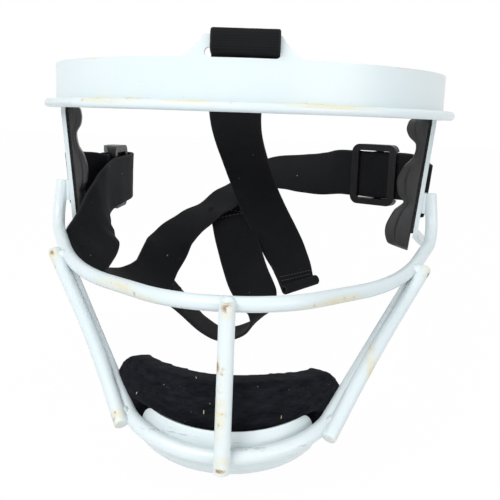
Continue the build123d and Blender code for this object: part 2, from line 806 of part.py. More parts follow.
right_run = stations(right_run_shares)
left_run = stations(left_run_shares)
right_return = returned(right_run, right_slide, 1)
left_return = returned(left_run, left_slide, -1)
rear_route = smooth(list(reversed(right_return)) + right_wrap[:1], route_steps)[:-1]
rear_route += right_wrap[:-1]
rear_route += smooth(
    right_wrap[-1:]
    + right_run
    + through(right_slide, 1)
    + stations(rear_route_shares)
    + through(left_slide, -1)
    + list(reversed(left_run))
    + left_wrap[:1],
    route_steps,
)[:-1]
rear_route += left_wrap[:-1]
rear_route += smooth(left_wrap[-1:] + left_return, route_steps)
with BuildPart() as rear_strap:
    for plane in cross_planes(rear_route):
        with BuildSketch(plane):
            Rectangle(web_width, web_thickness)
    loft(ruled=True)
rear_strap.part.label = "rear_strap"

with BuildPart() as ponytail_strap:
    for plane in cross_planes(smooth(stations(ponytail_route_shares), route_steps)):
        with BuildSketch(plane):
            Rectangle(web_width, web_thickness)
    loft(ruled=True)
ponytail_strap.part.label = "ponytail_strap"

# Crown strap: through the tab's slot, over the tab's bar and back over the head
tab_front = band_radius + tab_wrap_clear - web_half / 2
tab_slot_mid = tab_top - tab_bar_height - tab_slot_height / 2
tab_wrap_sites = (
    (tab_front, tab_slot_mid + web_thickness),
    (tab_front, tab_top - tab_bar_height / 2),
    (tab_front, tab_top),
    (band_radius, tab_top + web_thickness),
    (band_inner, tab_top + web_thickness),
    (band_inner - web_thickness, tab_top + web_thickness),
)
tab_wrap = [(Vector(crown_shift, -reach, level), Vector(1, 0, 0)) for reach, level in tab_wrap_sites]


def over_pad(sides, shares, levels):
    """Stations above the forehead pad: side, share of the band radius, height."""
    return [
        (Vector(side, -share * band_radius, level), Vector(1, 0, 0))
        for side, share, level in zip(sides, shares, levels)
    ]


crown_route = over_pad(tab_return_side, tab_return_shares, tab_return_level) + tab_wrap
crown_route += over_pad(crown_lead_side, crown_lead_shares, crown_lead_level)
crown_route += stations(crown_route_shares)
crown_course = smooth(crown_route, route_steps)
crown_end = cross_planes(crown_course)[-1]
for step in range(1, hem_steps + 1):
    turn = radians(hem_angle * step / hem_steps)
    rolled = Vector(0, hem_radius * (1 - cos(turn)), hem_radius * sin(turn))
    crown_course.append((crown_end.from_local_coords(rolled), crown_end.x_dir))
with BuildPart() as top_strap:
    for plane in cross_planes(crown_course):
        with BuildSketch(plane):
            Rectangle(web_width, web_thickness)
    loft(ruled=True)
top_strap.part.label = "top_strap"

# Adjusters: a moulded frame and the webbing end sewn round its centre bar
bar_inner = web_half + adjuster_clear
bar_outer = bar_inner + web_thickness + adjuster_clear
frame_profile = [
    (-adjuster_length / 2, -bar_inner - adjuster_bar_depth),
    (adjuster_length / 2, -bar_inner - adjuster_bar_depth),
    (adjuster_length / 2, adjuster_end_depth),
    (adjuster_shoulder, bar_outer + adjuster_bar_depth),
    (-adjuster_shoulder, bar_outer + adjuster_bar_depth),
    (-adjuster_length / 2, adjuster_end_depth),
]
window_height = adjuster_height - 2 * adjuster_rail
bar_mid = bar_outer + adjuster_bar_depth / 2
end_spread = (adjuster_bar_depth + web_thickness) / 2 + adjuster_clear
end_nose = adjuster_bar / 2 - end_spread / 2


with BuildPart() as adjuster_frame:
    with BuildSketch():
        with BuildLine():
            Polyline(*frame_profile, close=True)
        make_face()
    extrude(amount=adjuster_height / 2, both=True)
    with BuildSketch():
        Rectangle(adjuster_length + overrun, 2 * adjuster_length)
        for end in (-1, 1):
            end_x = end * (adjuster_length - adjuster_bar) / 2
            with Locations((end_x, -bar_inner - adjuster_bar_depth / 2)):
                Rectangle(adjuster_bar, adjuster_bar_depth, mode=Mode.SUBTRACT)
        with Locations((0, bar_mid)):
            RectangleRounded(
                adjuster_bar, adjuster_bar_depth, adjuster_bar_depth / 3, mode=Mode.SUBTRACT
            )
    extrude(amount=window_height / 2, both=True, mode=Mode.SUBTRACT)
    with BuildSketch(Plane.XZ):
        RectangleRounded(adjuster_length, adjuster_height, adjuster_corner)
    extrude(amount=adjuster_length, both=True, mode=Mode.INTERSECT)

with BuildPart() as fold:
    with BuildSketch():
        with BuildLine() as fold_line:
            Polyline(
                (tail_length, bar_mid - end_spread / 2),
                (tail_length - web_width / 6, bar_mid - end_spread),
                (-end_nose, bar_mid - end_spread),
            )
            ThreePointArc(
                (-end_nose, bar_mid - end_spread),
                (-end_nose - end_spread, bar_mid),
                (-end_nose, bar_mid + end_spread),
            )
            Polyline(
                (-end_nose, bar_mid + end_spread),
                (tail_length - web_width / 6, bar_mid + end_spread),
                (tail_length, bar_mid + end_spread / 2),
            )
        for edge in fold_line.edges():
            trace(edge, web_thickness)
    extrude(amount=web_width / 2, both=True)

with BuildPart() as right_adjuster:
    add(adjuster_frame.part.moved(right_slide.location))
right_adjuster.part.label = "right_adjuster"

with BuildPart() as left_adjuster:
    add(adjuster_frame.part.moved(left_slide.location))
left_adjuster.part.label = "left_adjuster"

with BuildPart() as right_strap_end:
    add(fold.part.moved(right_slide.location))
right_strap_end.part.label = "right_strap_end"

with BuildPart() as left_strap_end:
    add(fold.part.moved(left_slide.location))
left_strap_end.part.label = "left_strap_end"

os.makedirs("parts", exist_ok=True)
for piece in (
    forehead_band,
    right_side_plate,
    left_side_plate,
    mouth_bar,
    centre_rod,
    right_rod,
    left_rod,
    chin_bar,
    chin_plate,
    weld_beads,
    forehead_pad,
    right_side_pad,
    left_side_pad,
    chin_pad,
    forehead_hook_tape,
    right_hook_tape,
    left_hook_tape,
    chin_hook_tape,
    rear_strap,
    ponytail_strap,
    top_strap,
    right_adjuster,
    left_adjuster,
    right_strap_end,
    left_strap_end,
):
    export_step(piece.part, f"parts/{piece.part.label}.step")
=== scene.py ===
"""Looks of the face guard: coats, webbing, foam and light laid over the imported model.

Frame: metres, +Z up, the wearer looks along -Y, +X is the viewer's right.
"""

import random
from math import cos, exp, pi, radians, sin, sqrt, tan

import bmesh
import bpy
from mathutils import Matrix, Vector, noise


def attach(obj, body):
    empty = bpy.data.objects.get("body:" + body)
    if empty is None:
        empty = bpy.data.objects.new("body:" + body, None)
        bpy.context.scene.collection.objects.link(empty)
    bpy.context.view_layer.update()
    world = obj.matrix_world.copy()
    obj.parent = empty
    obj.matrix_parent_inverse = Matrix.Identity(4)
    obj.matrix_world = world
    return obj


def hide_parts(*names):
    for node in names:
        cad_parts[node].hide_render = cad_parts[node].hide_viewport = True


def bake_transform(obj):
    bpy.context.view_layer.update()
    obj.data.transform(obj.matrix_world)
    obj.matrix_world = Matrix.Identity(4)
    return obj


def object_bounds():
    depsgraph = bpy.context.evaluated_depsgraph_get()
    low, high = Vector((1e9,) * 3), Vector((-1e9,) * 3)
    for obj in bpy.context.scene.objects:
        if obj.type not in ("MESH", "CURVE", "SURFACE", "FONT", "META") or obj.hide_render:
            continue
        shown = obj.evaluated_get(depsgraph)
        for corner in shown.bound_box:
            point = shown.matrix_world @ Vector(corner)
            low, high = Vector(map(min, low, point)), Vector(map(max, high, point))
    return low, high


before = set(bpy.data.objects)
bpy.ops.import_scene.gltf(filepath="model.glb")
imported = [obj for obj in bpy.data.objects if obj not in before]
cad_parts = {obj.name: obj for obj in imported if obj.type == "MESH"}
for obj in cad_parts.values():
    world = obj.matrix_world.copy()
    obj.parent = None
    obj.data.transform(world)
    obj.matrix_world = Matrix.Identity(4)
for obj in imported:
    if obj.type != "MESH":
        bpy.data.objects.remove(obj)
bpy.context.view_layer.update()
random.seed(11)

MM = 0.001
UP = Vector((0, 0, 1))

# Sizes in millimetres, as the model has them
band_radius = 90.0
sheet_thickness = 1.8
band_inner = band_radius - sheet_thickness
plate_width = 24.0
plate_angle = 78.0
plate_kink_drop = 2.0
plate_lean = 5.5
plate_slot_width = 3.4
plate_slot_margin = 3.4
plate_slot_drop = 33.0
wire_half = 2.7
wire_round = 0.6
web_width = 25.0
web_thickness = 1.5
web_half = web_thickness / 2
wrap_radius = 1.9
return_spread = 4.0
tape_thickness = 1.2
tape_depth = sheet_thickness + tape_thickness
side_pad_width = 15.5
side_pad_setback = 11.0
adjuster_clear = 0.35
adjuster_bar = 4.2
adjuster_bar_depth = 2.2
adjuster_length = 27.0
adjuster_travel = 5.0
straight_margin = 2.5
tail_length = 9.0
tail_gap = 7.0
tab_top = 27.2
tab_bar_height = 4.6
tab_slot_height = 3.4
tab_wrap_clear = 1.3
crown_shift = 1.0
hem_radius = 2.2
hem_angle = 290.0
hem_steps = 12
hem_lead = (1.4, -1.0, -3.2)
hem_lead_steps = 3

# Webbing: its weave, and how unevenly it lies
rib_pitch = 0.9
column_pitch = 1.25
# Distance from the strap's middle, in millimetres, over which the painted highlight along its
# edges fades in
edge_highlight_span = (11.4, 12.4)
dense_pitch = 1.2
sway_length = 17.0
narrow_length = 9.0
widening = 0.007
cup_balance = 0.4
ripple_width, ripple_length, ripple_height = 5.0, 6.0, 0.10

# Stitches: thread thickness, points along and round one, and their insets from the edges
thread_thick = 0.28
thread_lift = 0.05
stitch_steps = 5
stitch_sides = 6
stitch_share = 0.74
stitch_foot, stitch_arch, stitch_tip = 0.2, 1.1, 0.45
box_half_width = web_width / 2 - 2.5
box_half_length, tab_box_half_length = 4.5, 4.0
box_steps = (4, -6)
hem_row_steps = (5, 7)
row_half_width = web_width / 2 - 2
hem_half_width = web_width / 2 - 1.6

# Crown strap's two layers behind the tab: side, share of the band radius and height
tab_return_sites = (
    (-0.6, 0.667, 18.2), (-0.1, 0.744, 19.1), (0.6, 0.844, 19.8), (1.0, 0.944, 20.4)
)
crown_lead_sites = ((0.2, 0.844, 25.0), (-1.5, 0.644, 19.5))

# Strap routes: each station a position, in shares of the band radius, and a width direction
right_adjuster_share = (0.761, 0.556, -0.337)
left_adjuster_share = (-0.811, 0.411, -0.392)
right_adjuster_heading = (-0.81, 0.58)
left_adjuster_heading = (0.03, 1.0)
right_run_shares = (
    ((0.932, 0.06, -0.37), (0.1, 0, 1)),
    ((0.946, 0.19, -0.363), (0.1, 0, 1)),
    ((0.950, 0.32, -0.352), (0.03, 0, 1)),
)
left_run_shares = (
    ((-0.895, 0.03, -0.372), (-0.1, 0, 1)),
    ((-0.862, 0.105, -0.378), (-0.05, 0, 1)),
)
rear_route_shares = (
    ((0.461, 0.811, -0.359), (0, 0.35, 0.93)),
    ((0.363, 0.900, -0.367), (0, 0.55, 0.83)),
    ((0.244, 0.983, -0.369), (0, 0.68, 0.73)),
    ((0.128, 1.039, -0.378), (0, 0.74, 0.67)),
    ((0.011, 1.050, -0.422), (-0.03, 0.84, 0.54)),
    ((-0.089, 1.022, -0.489), (-0.08, 0.92, 0.38)),
    ((-0.178, 0.978, -0.561), (-0.2, 0.85, 0.48)),
    ((-0.278, 0.917, -0.633), (-0.15, 0.92, 0.35)),
    ((-0.389, 0.833, -0.706), (-0.25, 0.85, 0.45)),
    ((-0.489, 0.733, -0.794), (-0.35, 0.75, 0.56)),
    ((-0.550, 0.589, -0.906), (-0.45, 0.4, 0.8)),
    ((-0.584, 0.411, -0.999), (-0.6, 0.3, 0.74)),
    ((-0.607, 0.289, -1.004), (-0.7, 0.25, 0.66)),
    ((-0.644, 0.144, -0.986), (-0.8, 0.2, 0.56)),
    ((-0.693, -0.011, -0.941), (-0.85, 0.2, 0.5)),
    ((-0.750, -0.156, -0.890), (-0.85, 0.2, 0.5)),
    ((-0.800, -0.278, -0.833), (-0.8, 0.2, 0.55)),
    ((-0.822, -0.350, -0.769), (-0.7, 0.3, 0.62)),
    ((-0.780, -0.380, -0.700), (-0.7, 0.1, 0.7)),
    ((-0.745, -0.356, -0.622), (-0.6, -0.15, 0.75)),
    ((-0.745, -0.278, -0.548), (-0.42, -0.4, 0.77)),
    ((-0.752, -0.167, -0.483), (-0.15, -0.6, 0.75)),
    ((-0.760, -0.033, -0.438), (0, -0.6, 0.8)),
    ((-0.760, 0.111, -0.413), (0, -0.3, 0.95)),
    ((-0.759, 0.267, -0.409), (0, -0.1, 1)),
    ((-0.759, 0.411, -0.408), (0, 0, 1)),
    ((-0.758, 0.622, -0.404), (0, 0, 1)),
    ((-0.765, 0.669, -0.402), (0, 0, 1)),
    ((-0.782, 0.689, -0.400), (0, 0, 1)),
    ((-0.799, 0.674, -0.398), (0, 0, 1)),
)
ponytail_route_shares = (
    ((-0.172, 0.950, -0.615), (0.55, 0.75, 0.36)),
    ((-0.139, 0.889, -0.667), (0.9, 0.35, 0.26)),
    ((-0.094, 0.811, -0.800), (0.96, 0.12, 0.24)),
    ((-0.044, 0.711, -0.933), (0.96, 0.05, 0.25)),
    ((0.011, 0.633, -1.056), (0.95, 0.1, 0.25)),
    ((0.067, 0.594, -1.144), (0.85, 0.45, 0.25)),
    ((0.094, 0.589, -1.228), (0.6, 0.77, 0.15)),
    ((0.061, 0.600, -1.311), (0.3, 0.95, 0.08)),
    ((-0.028, 0.611, -1.381), (0.05, 1, 0)),
    ((-0.150, 0.611, -1.409), (0, 1, 0)),
    ((-0.267, 0.589, -1.350), (-0.05, 0.98, 0.1)),
    ((-0.367, 0.556, -1.244), (-0.12, 0.93, 0.3)),
    ((-0.456, 0.517, -1.142), (-0.3, 0.75, 0.57)),
    ((-0.544, 0.483, -1.051), (-0.48, 0.3, 0.82)),
)
crown_route_shares = (
    ((-0.050, -0.333, 0.120), (1, 0, 0.02)),
    ((-0.076, -0.027, 0.009), (1, 0, 0.06)),
    ((-0.076, 0.278, -0.117), (1, 0, 0.1)),
    ((-0.050, 0.556, -0.250), (0.99, 0, 0.15)),
    ((-0.013, 0.733, -0.378), (0.97, 0, 0.24)),
    ((0.039, 0.822, -0.522), (0.93, 0.05, 0.35)),
    ((0.117, 0.850, -0.678), (0.88, 0.12, 0.46)),
    ((0.206, 0.828, -0.833), (0.84, 0.25, 0.48)),
    ((0.278, 0.789, -0.967), (0.8, 0.5, 0.33)),
    ((0.314, 0.756, -1.061), (0.8, 0.58, 0.1)),
)
# Side pads: the depth over the tape at each rib and hollow, from the top down
side_pad_level = (
    2.5, 0.8, -3.5, -7.5, -11, -17, -21, -27, -33.5, -37.5, -42, -49.5, -56.5, -59.4
)
side_pad_depth = (3, 8, 9.6, 8, 4.4, 4.8, 8, 10, 8.5, 5.5, 9.5, 11.8, 9.5, 3.5)
left_pad_share = 0.58


def radial(turn):
    """Unit vector out from the head's axis, turned from the front towards +X."""
    return Vector((sin(radians(turn)), -cos(radians(turn)), 0))


def along(turn):
    """Unit vector round the head, towards the back on the +X side."""
    return Vector((cos(radians(turn)), sin(radians(turn)), 0))


def on_side(vector, side):
    """A vector of the viewer's right side as it is on one side of the face, 1 or -1."""
    return Vector((side * vector.x, vector.y, vector.z))


def stations(table):
    """A route table as positions in millimetres and width directions."""
    return [
        (Vector(place) * band_radius, Vector(width).normalized()) for place, width in table
    ]


def smooth(route, steps=10):
    """A curve through the stations, with its width directions turned along."""
    spots = [position for position, width in route]
    gaps = [(second - first).length for first, second in zip(spots, spots[1:])]
    slopes = [(second - first) / gap for first, second, gap in zip(spots, spots[1:], gaps)]
    courses = [slopes[0]]
    for index in range(1, len(slopes)):
        before, after = gaps[index - 1], gaps[index]
        courses.append((slopes[index - 1] * after + slopes[index] * before) / (before + after))
    courses.append(slopes[-1])
    points = []
    for index, gap in enumerate(gaps):
        (start, start_width), (end, end_width) = route[index], route[index + 1]
        count = max(2, min(steps, round(gap / dense_pitch)))
        for step in range(count):
            t = step / count
            position = (
                start * (2 * t**3 - 3 * t**2 + 1)
                + courses[index] * gap * (t**3 - 2 * t**2 + t)
                + end * (3 * t**2 - 2 * t**3)
                + courses[index + 1] * gap * (t**3 - t**2)
            )
            ease = t * t * (3 - 2 * t)
            width = (start_width * (1 - ease) + end_width * ease).normalized()
            points.append((position, width))
    points.append(route[-1])
    return points


def cross_frames(route):
    """Position, width direction and outward normal along a dense route."""
    frames = []
    for index, (position, width) in enumerate(route):
        before = route[max(index - 1, 0)][0]
        after = route[min(index + 1, len(route) - 1)][0]
        course = (after - before).normalized()
        across = (width - course * width.dot(course)).normalized()
        frames.append((position, across, course.cross(across)))
    return frames


def new_object(name, data):
    """An object put into the scene."""
    piece = bpy.data.objects.new(name, data)
    bpy.context.scene.collection.objects.link(piece)
    return piece


def cover(piece, material, smooth_faces=True):
    """A piece's only material, and its faces shaded smooth."""
    piece.data.materials.clear()
    piece.data.materials.append(material)
    if smooth_faces:
        for polygon in piece.data.polygons:
            polygon.use_smooth = True
            polygon.material_index = 0


def finish_mesh(name, bm, material, body=None):
    """A named object from a bmesh, with its material, riding on its body."""
    piece = new_object(name, bpy.data.meshes.new(name))
    bmesh.ops.recalc_face_normals(bm, faces=bm.faces)
    bm.to_mesh(piece.data)
    bm.free()
    cover(piece, material)
    if body:
        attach(piece, body)
    return piece


def add_ring(bm, middle, across, upward, corners, side=1):
    """Points round a centre, in millimetres, with the ring's two half axes as vectors."""
    turns = [2 * pi * corner / corners for corner in range(corners)]
    spots = [middle + across * cos(turn) + upward * sin(turn) for turn in turns]
    return [bm.verts.new(on_side(spot, side) * MM) for spot in spots]


def add_sheet(bm, rows):
    """Faces between neighbouring rows of points."""
    for first, second in zip(rows, rows[1:]):
        for spot in range(len(first) - 1):
            bm.faces.new((first[spot], first[spot + 1], second[spot + 1], second[spot]))


def close_tube(bm, rings):
    """Faces between rings of points, and one over each end."""
    add_sheet(bm, [ring + ring[:1] for ring in rings])
    bm.faces.new(rings[0])
    bm.faces.new(rings[-1])


# Procedural materials
def add_maths(tree, operation, first, second):
    """A maths node on two inputs, each a number or a socket."""
    node = tree.nodes.new("ShaderNodeMath")
    node.operation = operation
    for socket, value in zip(node.inputs, (first, second)):
        if isinstance(value, (int, float)):
            socket.default_value = value
        else:
            tree.links.new(value, socket)
    return node.outputs["Value"]


class Shade:
    """A small helper round one material's node tree."""

    def __init__(self, name, colour, roughness):
        self.material = bpy.data.materials.new(name)
        self.material.use_nodes = True
        self.tree = self.material.node_tree
        self.bsdf = self.tree.nodes["Principled BSDF"]
        self.put("Base Color", (*colour, 1))
        self.put("Roughness", roughness)
        self.place = self.tree.nodes.new("ShaderNodeTexCoord").outputs["Object"]

    def put(self, name, value):
        self.bsdf.inputs[name].default_value = value

    def link(self, source, target):
        self.tree.links.new(source, target)

    def scaled(self, scale):
        """Coordinates stretched by a scale for each axis."""
        mapping = self.tree.nodes.new("ShaderNodeMapping")
        mapping.inputs["Scale"].default_value = scale
        self.link(self.place, mapping.inputs["Vector"])
        return mapping.outputs["Vector"]

    def noise(self, scale, detail=2.0, rough=0.5, source=None):
        node = self.tree.nodes.new("ShaderNodeTexNoise")
        node.inputs["Scale"].default_value = scale
        node.inputs["Detail"].default_value = detail
        node.inputs["Roughness"].default_value = rough
        self.link(source or self.place, node.inputs["Vector"])
        return node.outputs["Fac"]

    def ramp(self, source, low, high, start=0.0, end=1.0):
        """A value mapped from low..high to start..end, and held at the ends."""
        node = self.tree.nodes.new("ShaderNodeMapRange")
        node.inputs["From Min"].default_value = low
        node.inputs["From Max"].default_value = high
        node.inputs["To Min"].default_value = start
        node.inputs["To Max"].default_value = end
        self.link(source, node.inputs["Value"])
        return node.outputs["Result"]

    def maths(self, operation, first, second=0.0):
        return add_maths(self.tree, operation, first, second)

    def blend(self, factor, first, second):
        """Two colours mixed; each is a colour or a socket."""
        node = self.tree.nodes.new("ShaderNodeMix")
        node.data_type = "RGBA"
        self.link(factor, node.inputs[0])
        for socket, value in zip((node.inputs[6], node.inputs[7]), (first, second)):
            if isinstance(value, tuple):
                socket.default_value = (*value, 1)
            else:
                self.link(value, socket)
        return node.outputs[2]

    def times(self, first, second):
        return self.maths("MULTIPLY", first, second)

    def dab(self, base, mask, share, colour):
        """A colour laid over a base by a share of a mask."""
        return self.blend(self.times(mask, share), base, colour)

    def colour(self, source):
        self.link(source, self.bsdf.inputs["Base Color"])

    def roughness(self, source):
        self.link(source, self.bsdf.inputs["Roughness"])

    def bump(self, *layers):
        """Stacked height layers, each (source, strength, distance in millimetres)."""
        normal = None
        for source, strength, distance in layers:
            node = self.tree.nodes.new("ShaderNodeBump")
            node.inputs["Strength"].default_value = strength
            node.inputs["Distance"].default_value = distance * MM
            self.link(source, node.inputs["Height"])
            if normal:
                self.link(normal, node.inputs["Normal"])
            normal = node.outputs["Normal"]
        self.link(normal, self.bsdf.inputs["Normal"])

    def sheen(self, weight, rough, tint):
        self.put("Sheen Weight", weight)
        self.put("Sheen Roughness", rough)
        self.put("Sheen Tint", (*tint, 1))

    def vector_maths(self, operation, first, second=None):
        node = self.tree.nodes.new("ShaderNodeVectorMath")
        node.operation = operation
        self.link(first, node.inputs[0])
        if second:
            node.inputs[1].default_value = [value * MM for value in second]
        return node.outputs

    def near(self, centre, reach, core=0.35):
        """1 at a spot, falling to 0 at its reach, given for each axis in millimetres."""
        shifted = self.vector_maths("SUBTRACT", self.place, centre)[0]
        stretched = self.vector_maths("DIVIDE", shifted, reach)[0]
        length = self.vector_maths("LENGTH", stretched)["Value"]
        return self.ramp(length, core, 1.0, 1.0, 0.0)

    def spots(self, places):
        """The largest of the masks of several spots."""
        total = None
        for centre, reach in places:
            mask = self.near(centre, reach)
            total = mask if total is None else self.maths("MAXIMUM", total, mask)
        return total


def powder_coat():
    """Smooth white coat with faint orange peel, yellowed rubs, brown chips and dark scuffs."""
    shade = Shade("powder_coat", (0.66, 0.74, 0.76), 0.36)
    cool_white, warm_white = (0.645, 0.725, 0.75), (0.69, 0.755, 0.765)
    yellowed, chipped = (0.70, 0.63, 0.41), (0.34, 0.22, 0.12)
    scuffed, specked = (0.24, 0.24, 0.23), (0.34, 0.30, 0.22)
    drift = shade.ramp(shade.noise(14, 3), 0.35, 0.65)
    coat = shade.blend(drift, cool_white, warm_white)
    rubs = shade.spots(rub_places)
    grain = shade.ramp(shade.noise(170, 6, 0.7), 0.40, 0.62)
    streak = shade.ramp(shade.noise(60, 4, 0.6, shade.scaled((1, 1, 5))), 0.35, 0.6)
    stain = shade.times(shade.times(rubs, streak), 0.8)
    coat = shade.blend(stain, coat, yellowed)
    chip = shade.times(shade.ramp(shade.noise(420, 5, 0.65), 0.60, 0.64), rubs)
    chip = shade.times(chip, grain)
    flaked = shade.ramp(shade.noise(380, 4, 0.6), 0.44, 0.50)
    chip = shade.maths("MAXIMUM", chip, shade.times(shade.spots(chip_places), flaked))
    coat = shade.blend(chip, coat, chipped)
    dashes = shade.ramp(shade.noise(300, 4, 0.7, shade.scaled((0.4, 0.8, 4.0))), 0.56, 0.63)
    scuff = shade.times(shade.times(shade.spots(scuff_places), dashes), 0.6)
    coat = shade.blend(scuff, coat, scuffed)
    specks = shade.ramp(shade.noise(900, 2, 0.6), 0.765, 0.79)
    shade.colour(shade.blend(specks, coat, specked))
    wear = shade.maths("ADD", shade.times(stain, 0.22), shade.times(chip, 0.3))
    peel = shade.ramp(shade.noise(40, 3), 0.3, 0.7, 0.30, 0.42)
    shade.roughness(shade.maths("ADD", peel, wear))
    shade.bump(
        (shade.noise(330, 2), 0.10, 0.25),
        (shade.maths("SUBTRACT", 1.0, chip), 0.55, 0.15),
        (shade.maths("SUBTRACT", 1.0, scuff), 0.25, 0.05),
    )
    shade.put("Coat Weight", 0.25)
    shade.put("Coat Roughness", 0.2)
    return shade.material


def webbing_cloth():
    """Woven elastic: fine ribs across the strap, knitted columns along it, and a soft bloom."""
    shade = Shade("webbing_cloth", (0.008, 0.008, 0.009), 0.72)
    weave = shade.tree.nodes.new("ShaderNodeUVMap")
    weave.uv_map = "weave"
    split = shade.tree.nodes.new("ShaderNodeSeparateXYZ")
    shade.link(weave.outputs["UV"], split.inputs["Vector"])
    across, length = split.outputs["X"], split.outputs["Y"]
    rib = shade.maths("SINE", shade.times(length, 2 * pi / rib_pitch))
    column = shade.maths("SINE", shade.times(across, 2 * pi / column_pitch))
    woven = shade.times(rib, column)
    ridge = shade.maths("ADD", shade.times(rib, 0.5), shade.times(woven, 0.5))
    tone = shade.ramp(shade.noise(35, 4, 0.6), 0.3, 0.7)
    cloth = shade.blend(tone, (0.0045, 0.0046, 0.0052), (0.0095, 0.0097, 0.011))
    cloth = shade.dab(cloth, shade.ramp(ridge, -0.6, 1.0), 0.35, (0.021, 0.0215, 0.0235))
    # Paler along both edges: a painted highlight where the strap's rounded edges catch the light
    edge = shade.ramp(shade.maths("ABSOLUTE", across), *edge_highlight_span)
    cloth = shade.dab(cloth, edge, 0.5, (0.030, 0.0305, 0.033))
    lint = shade.ramp(shade.noise(560, 1, 0.4), 0.815, 0.83)
    shade.colour(shade.dab(cloth, lint, 0.7, (0.42, 0.41, 0.38)))
    shade.roughness(shade.ramp(tone, 0, 1, 0.66, 0.82))
    fray = shade.noise(1500, 2)
    shade.bump((ridge, 0.35, 0.18), (fray, 0.25, 0.08), (shade.noise(120, 3), 0.2, 0.4))
    shade.sheen(0.03, 0.4, (0.70, 0.72, 0.78))
    shade.put("Specular IOR Level", 0.07)
    return shade.material


def foam_skin():
    """Moulded foam with a dull closed skin, fine pores and dusty ridges."""
    shade = Shade("foam_skin", (0.028, 0.028, 0.032), 0.6)
    tone = shade.ramp(shade.noise(50, 4, 0.6), 0.3, 0.7)
    skin = shade.blend(tone, (0.007, 0.007, 0.008), (0.015, 0.015, 0.017))
    pores = shade.ramp(shade.noise(1300, 3, 0.7), 0.62, 0.70)
    skin = shade.dab(skin, pores, 0.6, (0.008, 0.008, 0.009))
    dust = shade.ramp(shade.noise(700, 2, 0.5), 0.74, 0.77)
    shade.colour(shade.dab(skin, dust, 0.5, (0.22, 0.22, 0.21)))
    shade.roughness(shade.ramp(tone, 0, 1, 0.40, 0.54))
    shade.bump((shade.noise(1100, 3, 0.6), 0.30, 0.10), (shade.noise(90, 3), 0.25, 0.5))
    shade.sheen(0.05, 0.4, (0.8, 0.82, 0.88))
    shade.put("Specular IOR Level", 0.6)
    return shade.material


def brushed_loop():
    """Brushed loop cloth: short fibres combed along the pad, with paler tips."""
    shade = Shade("brushed_loop", (0.018, 0.019, 0.024), 0.9)
    combed = shade.scaled((0.28, 0.6, 1.0))
    fibre = shade.noise(520, 5, 0.75, combed)
    streak = shade.noise(150, 5, 0.7, shade.scaled((0.22, 0.5, 1.0)))
    combing = shade.ramp(fibre, 0.35, 0.72)
    pile = shade.blend(combing, (0.0030, 0.0032, 0.0045), (0.0135, 0.0142, 0.0180))
    pile = shade.blend(shade.ramp(streak, 0.50, 0.75, 0.0, 0.4), pile, (0.022, 0.0235, 0.029))
    tuft = shade.ramp(shade.noise(900, 3, 0.6, combed), 0.70, 0.76)
    shade.colour(shade.dab(pile, tuft, 0.35, (0.075, 0.08, 0.09)))
    shade.bump((fibre, 0.6, 0.5), (streak, 0.45, 0.7), (shade.noise(1600, 2), 0.4, 0.15))
    shade.sheen(0.05, 0.5, (0.6, 0.64, 0.75))
    shade.put("Specular IOR Level", 0.05)
    return shade.material


def hook_stubble():
    """Hook tape: a dense stubble of small stiff hooks."""
    shade = Shade("hook_stubble", (0.010, 0.010, 0.011), 0.5)
    cells = shade.tree.nodes.new("ShaderNodeTexVoronoi")
    cells.inputs["Scale"].default_value = 900
    shade.link(shade.place, cells.inputs["Vector"])
    knob = shade.ramp(cells.outputs["Distance"], 0.0, 0.6, 1.0, 0.0)
    shade.colour(shade.blend(knob, (0.006, 0.006, 0.007), (0.03, 0.03, 0.033)))
    shade.roughness(shade.ramp(shade.noise(80, 2), 0, 1, 0.42, 0.6))
    shade.bump((knob, 0.8, 0.4))
    return shade.material


def buckle_plastic():
    """Moulded black acetal with a soft sheen, faint flow marks and rubbed grain."""
    shade = Shade("buckle_plastic", (0.012, 0.012, 0.0135), 0.38)
    tone = shade.ramp(shade.noise(30, 4), 0.3, 0.7)
    body = shade.blend(tone, (0.006, 0.006, 0.0068), (0.011, 0.011, 0.0122))
    dust = shade.ramp(shade.noise(800, 2, 0.5), 0.76, 0.79)
    shade.colour(shade.dab(body, dust, 0.4, (0.2, 0.2, 0.2)))
    shade.roughness(shade.ramp(shade.noise(140, 5, 0.7), 0.3, 0.7, 0.32, 0.50))
    shade.bump((shade.noise(700, 3), 0.12, 0.08), (shade.noise(60, 2), 0.1, 0.4))
    shade.put("Specular IOR Level", 0.22)
    return shade.material


def thread():
    """Bonded thread with a twist."""
    shade = Shade("thread", (0.03, 0.03, 0.034), 0.55)
    ply = shade.noise(2600, 1, 0.5, shade.scaled((1, 1, 3)))
    twist = shade.ramp(ply, 0.4, 0.6)
    shade.colour(shade.blend(twist, (0.018, 0.018, 0.02), (0.06, 0.06, 0.066)))
    shade.bump((ply, 0.6, 0.1))
    return shade.material


def lint_fibre():
    """Pale lint."""
    shade = Shade("lint_fibre", (0.62, 0.58, 0.50), 0.9)
    tint = shade.ramp(shade.noise(150, 1), 0.35, 0.65)
    shade.colour(shade.blend(tint, (0.70, 0.68, 0.62), (0.55, 0.42, 0.26)))
    return shade.material


